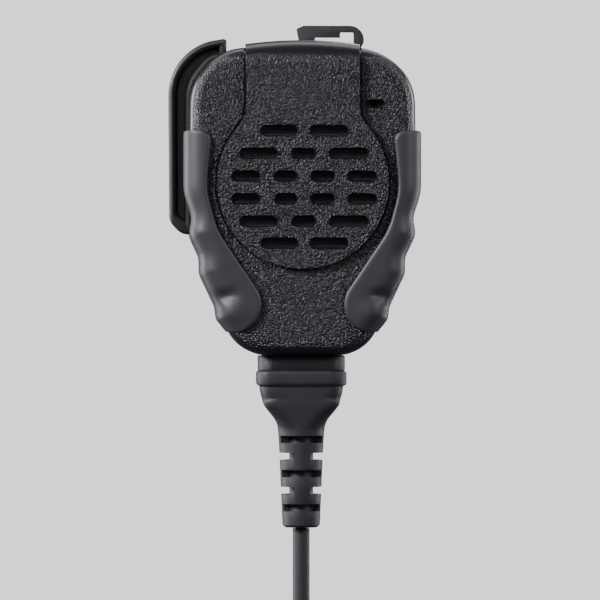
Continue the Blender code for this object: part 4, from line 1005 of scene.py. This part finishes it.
left, right = CLIP_X - BASE_HALF, CLIP_X + BASE_HALF
base_plan = [(right, BASE_TOP_Z, 4), (right, CLIP_FOOT_Z, 1.5)]
base_plan += [(left, CLIP_FOOT_Z, 1.5), (left, BASE_TOP_Z, 4)]
base = as_mesh(levels(base_plan, [(0, BASE_Y), (0, BASE_Y + PLATE)]))
ear = [(BASE_Y + 0.4, PIN_Z - 6, 0.1), (PIN_Y, PIN_Z - 3, 1.5), (PIN_Y + 2.4, PIN_Z - 1.6, 1.2)]
ear += [(PIN_Y + 2.4, PIN_Z + 1.6, 1.2), (PIN_Y, PIN_Z + 3, 1.5), (BASE_Y + 0.4, PIN_Z + 5, 0.1)]
ear_out = BASE_HALF - 0.05
ears = [
    across(ear, CLIP_X - ear_out, CLIP_X - ear_out + PLATE),
    across(ear, CLIP_X + ear_out - PLATE, CLIP_X + ear_out),
]
lip_half = 7.9
lip_plan = [(CLIP_X - lip_half, -18.75, 0.1), (CLIP_X + lip_half, -18.75, 0.1)]
lip_plan += [(CLIP_X + lip_half, -19.95, 0.1), (CLIP_X - lip_half, -19.95, 0.1)]
lip = as_mesh(levels(lip_plan, [(0, BASE_Y + 0.4), (0, 19.3 - TOOTH)]))
tooth_half = lip_half / TEETH - 0.03
wedge_corners = [(-tooth_half, -0.2), (-tooth_half, 0.0), (0, TOOTH), (tooth_half, 0.0), (tooth_half, -0.2)]
wedge = as_mesh(loft([[(x, y, z) for x, y in wedge_corners] for z in (-0.6, 0.6)]))
tooth_places = []
for k in range(TEETH):
    x = CLIP_X - lip_half + 2 * lip_half * (k + 0.5) / TEETH
    tooth_places.append((x, 19.3 - TOOTH, -19.35, 0.0, 0.0))
holes = turned([(0, -12), (1.4, -12), (1.4, 12), (0, 12)], (CLIP_X, PIN_Y, PIN_Z), "X")
turned([(0, 14), (2.6, 14), (2.6, 18.5), (0, 18.5)], centre, bm=holes)
base = worked(
    base,
    ("UNION", ears[0]),
    ("UNION", ears[1]),
    ("UNION", lip),
    ("UNION", copies(wedge, (0, 1, 0), tooth_places)),
    ("DIFFERENCE", as_mesh(holes)),
    softened(0.16, 3, 30),
)
finished("clip_base_pressing", base, coated_steel, "clip", "black_steel", "clip_base")

left, right = CLIP_X - LEVER_HALF, CLIP_X + LEVER_HALF
lever_plan = [
    (left, CLIP_FOOT_Z, 1.0),
    (left, 27.5, 2.0),
    (0.4, 33.0, 2.0),
    (0.2, 41.3, 2.0),
    (-0.4, 44.4, 0.4),
    (1.6, TAB_TOP_Z, 1.5),
    (18.6, TAB_TOP_Z, 4.0),
    (18.6, 40.6, 1.6),
    (right, 36.5, 1.6),
    (right, CLIP_FOOT_Z, 1.0),
]
strip = [(19.7, CLIP_FOOT_Z, 0.1), (19.7, CLIP_FOOT_Z + PLATE, 0.6), (JAW_Y, CLIP_FOOT_Z + 3.4, 0.8)]
strip += [(JAW_Y, 27.0, 3.0), (26.9, TAB_TOP_Z + 1, 0.1), (28.1, TAB_TOP_Z + 1, 0.1)]
strip += [(JAW_Y + PLATE, 26.9, 4.0), (JAW_Y + PLATE, CLIP_FOOT_Z + 2.7, 1.8), (21.5, CLIP_FOOT_Z, 0.1)]
cheek = [(JAW_Y + 0.4, PIN_Z - 5, 0.1), (PIN_Y, PIN_Z - 2.6, 1.5), (PIN_Y - 2, PIN_Z, 1.5)]
cheek += [(PIN_Y, PIN_Z + 2.6, 1.5), (JAW_Y + 0.4, PIN_Z + 5, 0.1)]
cheek_out = LEVER_HALF - 0.05
window = [(4.8, 35.5, 0.3), (4.8, 41.9, 0.3), (11.9, 41.9, 0.1), (11.9, 43.4, 0.3)]
window += [(15.7, 43.4, 0.3), (15.7, 37.5, 0.3), (14.0, 35.5, 0.3)]
nick = as_mesh(loft([[(x, y, z) for x, y in ((-0.9, -1.6), (0.9, -1.6), (0, 0))] for z in (-2.5, 1.0)]))
nick_places = []
for k in range(1, TEETH):
    nick_places.append((left + 2 * LEVER_HALF * k / TEETH, 20.6, CLIP_FOOT_Z + 0.5, 0.0, 0.0))
bore = as_mesh(turned([(0, -12), (1.4, -12), (1.4, 12), (0, 12)], (CLIP_X, PIN_Y, PIN_Z), "X"))
lever = worked(
    across(strip, CLIP_X - 12, CLIP_X + 12),
    ("INTERSECT", as_mesh(levels(lever_plan, [(0, 15), (0, 35)]))),
    ("UNION", across(cheek, CLIP_X - cheek_out, CLIP_X - cheek_out + 1)),
    ("UNION", across(cheek, CLIP_X + cheek_out - 1, CLIP_X + cheek_out)),
    ("DIFFERENCE", as_mesh(levels(window, [(0, 20), (0, 35)]))),
    ("DIFFERENCE", copies(nick, (0, 1, 0), nick_places)),
    ("DIFFERENCE", bore),
    softened(0.16, 3, 30),
)
finished("clip_lever_pressing", lever, coated_steel, "clip_jaw", "black_steel", "clip_lever")

pin_profile = [(0, -9.6), (1.0, -9.6), (1.2, -9.4), (1.2, 9.4), (1.0, 9.6), (0, 9.6)]
pin = as_mesh(turned(pin_profile, (CLIP_X, PIN_Y, PIN_Z), "X"))
finished("clip_pin_turned", pin, bright_steel, "clip", "bright_steel", "clip_pin")
COIL_TURNS, COIL_R, COIL_HALF = 3.5, 2.1, 4.6
steps = round(COIL_TURNS * STEPS_PER_TURN)
coil = [(CLIP_X - COIL_HALF, BASE_Y + PLATE + 0.8, PIN_Z + 5.6)]
for k in range(steps + 1):
    angle = math.pi - math.tau * COIL_TURNS * k / steps
    x = CLIP_X - COIL_HALF + 2 * COIL_HALF * k / steps
    coil.append((x, PIN_Y + COIL_R * math.cos(angle), PIN_Z + COIL_R * math.sin(angle)))
coil.append((CLIP_X + COIL_HALF, PIN_Y + 2.3, PIN_Z + 6.0))
ends = ((CLIP_X - COIL_HALF + 0.5, PIN_Y, PIN_Z), (CLIP_X + COIL_HALF - 0.5, PIN_Y, PIN_Z))
sprung("clip_spring_wound", coil, 0.45, "clip_spring")
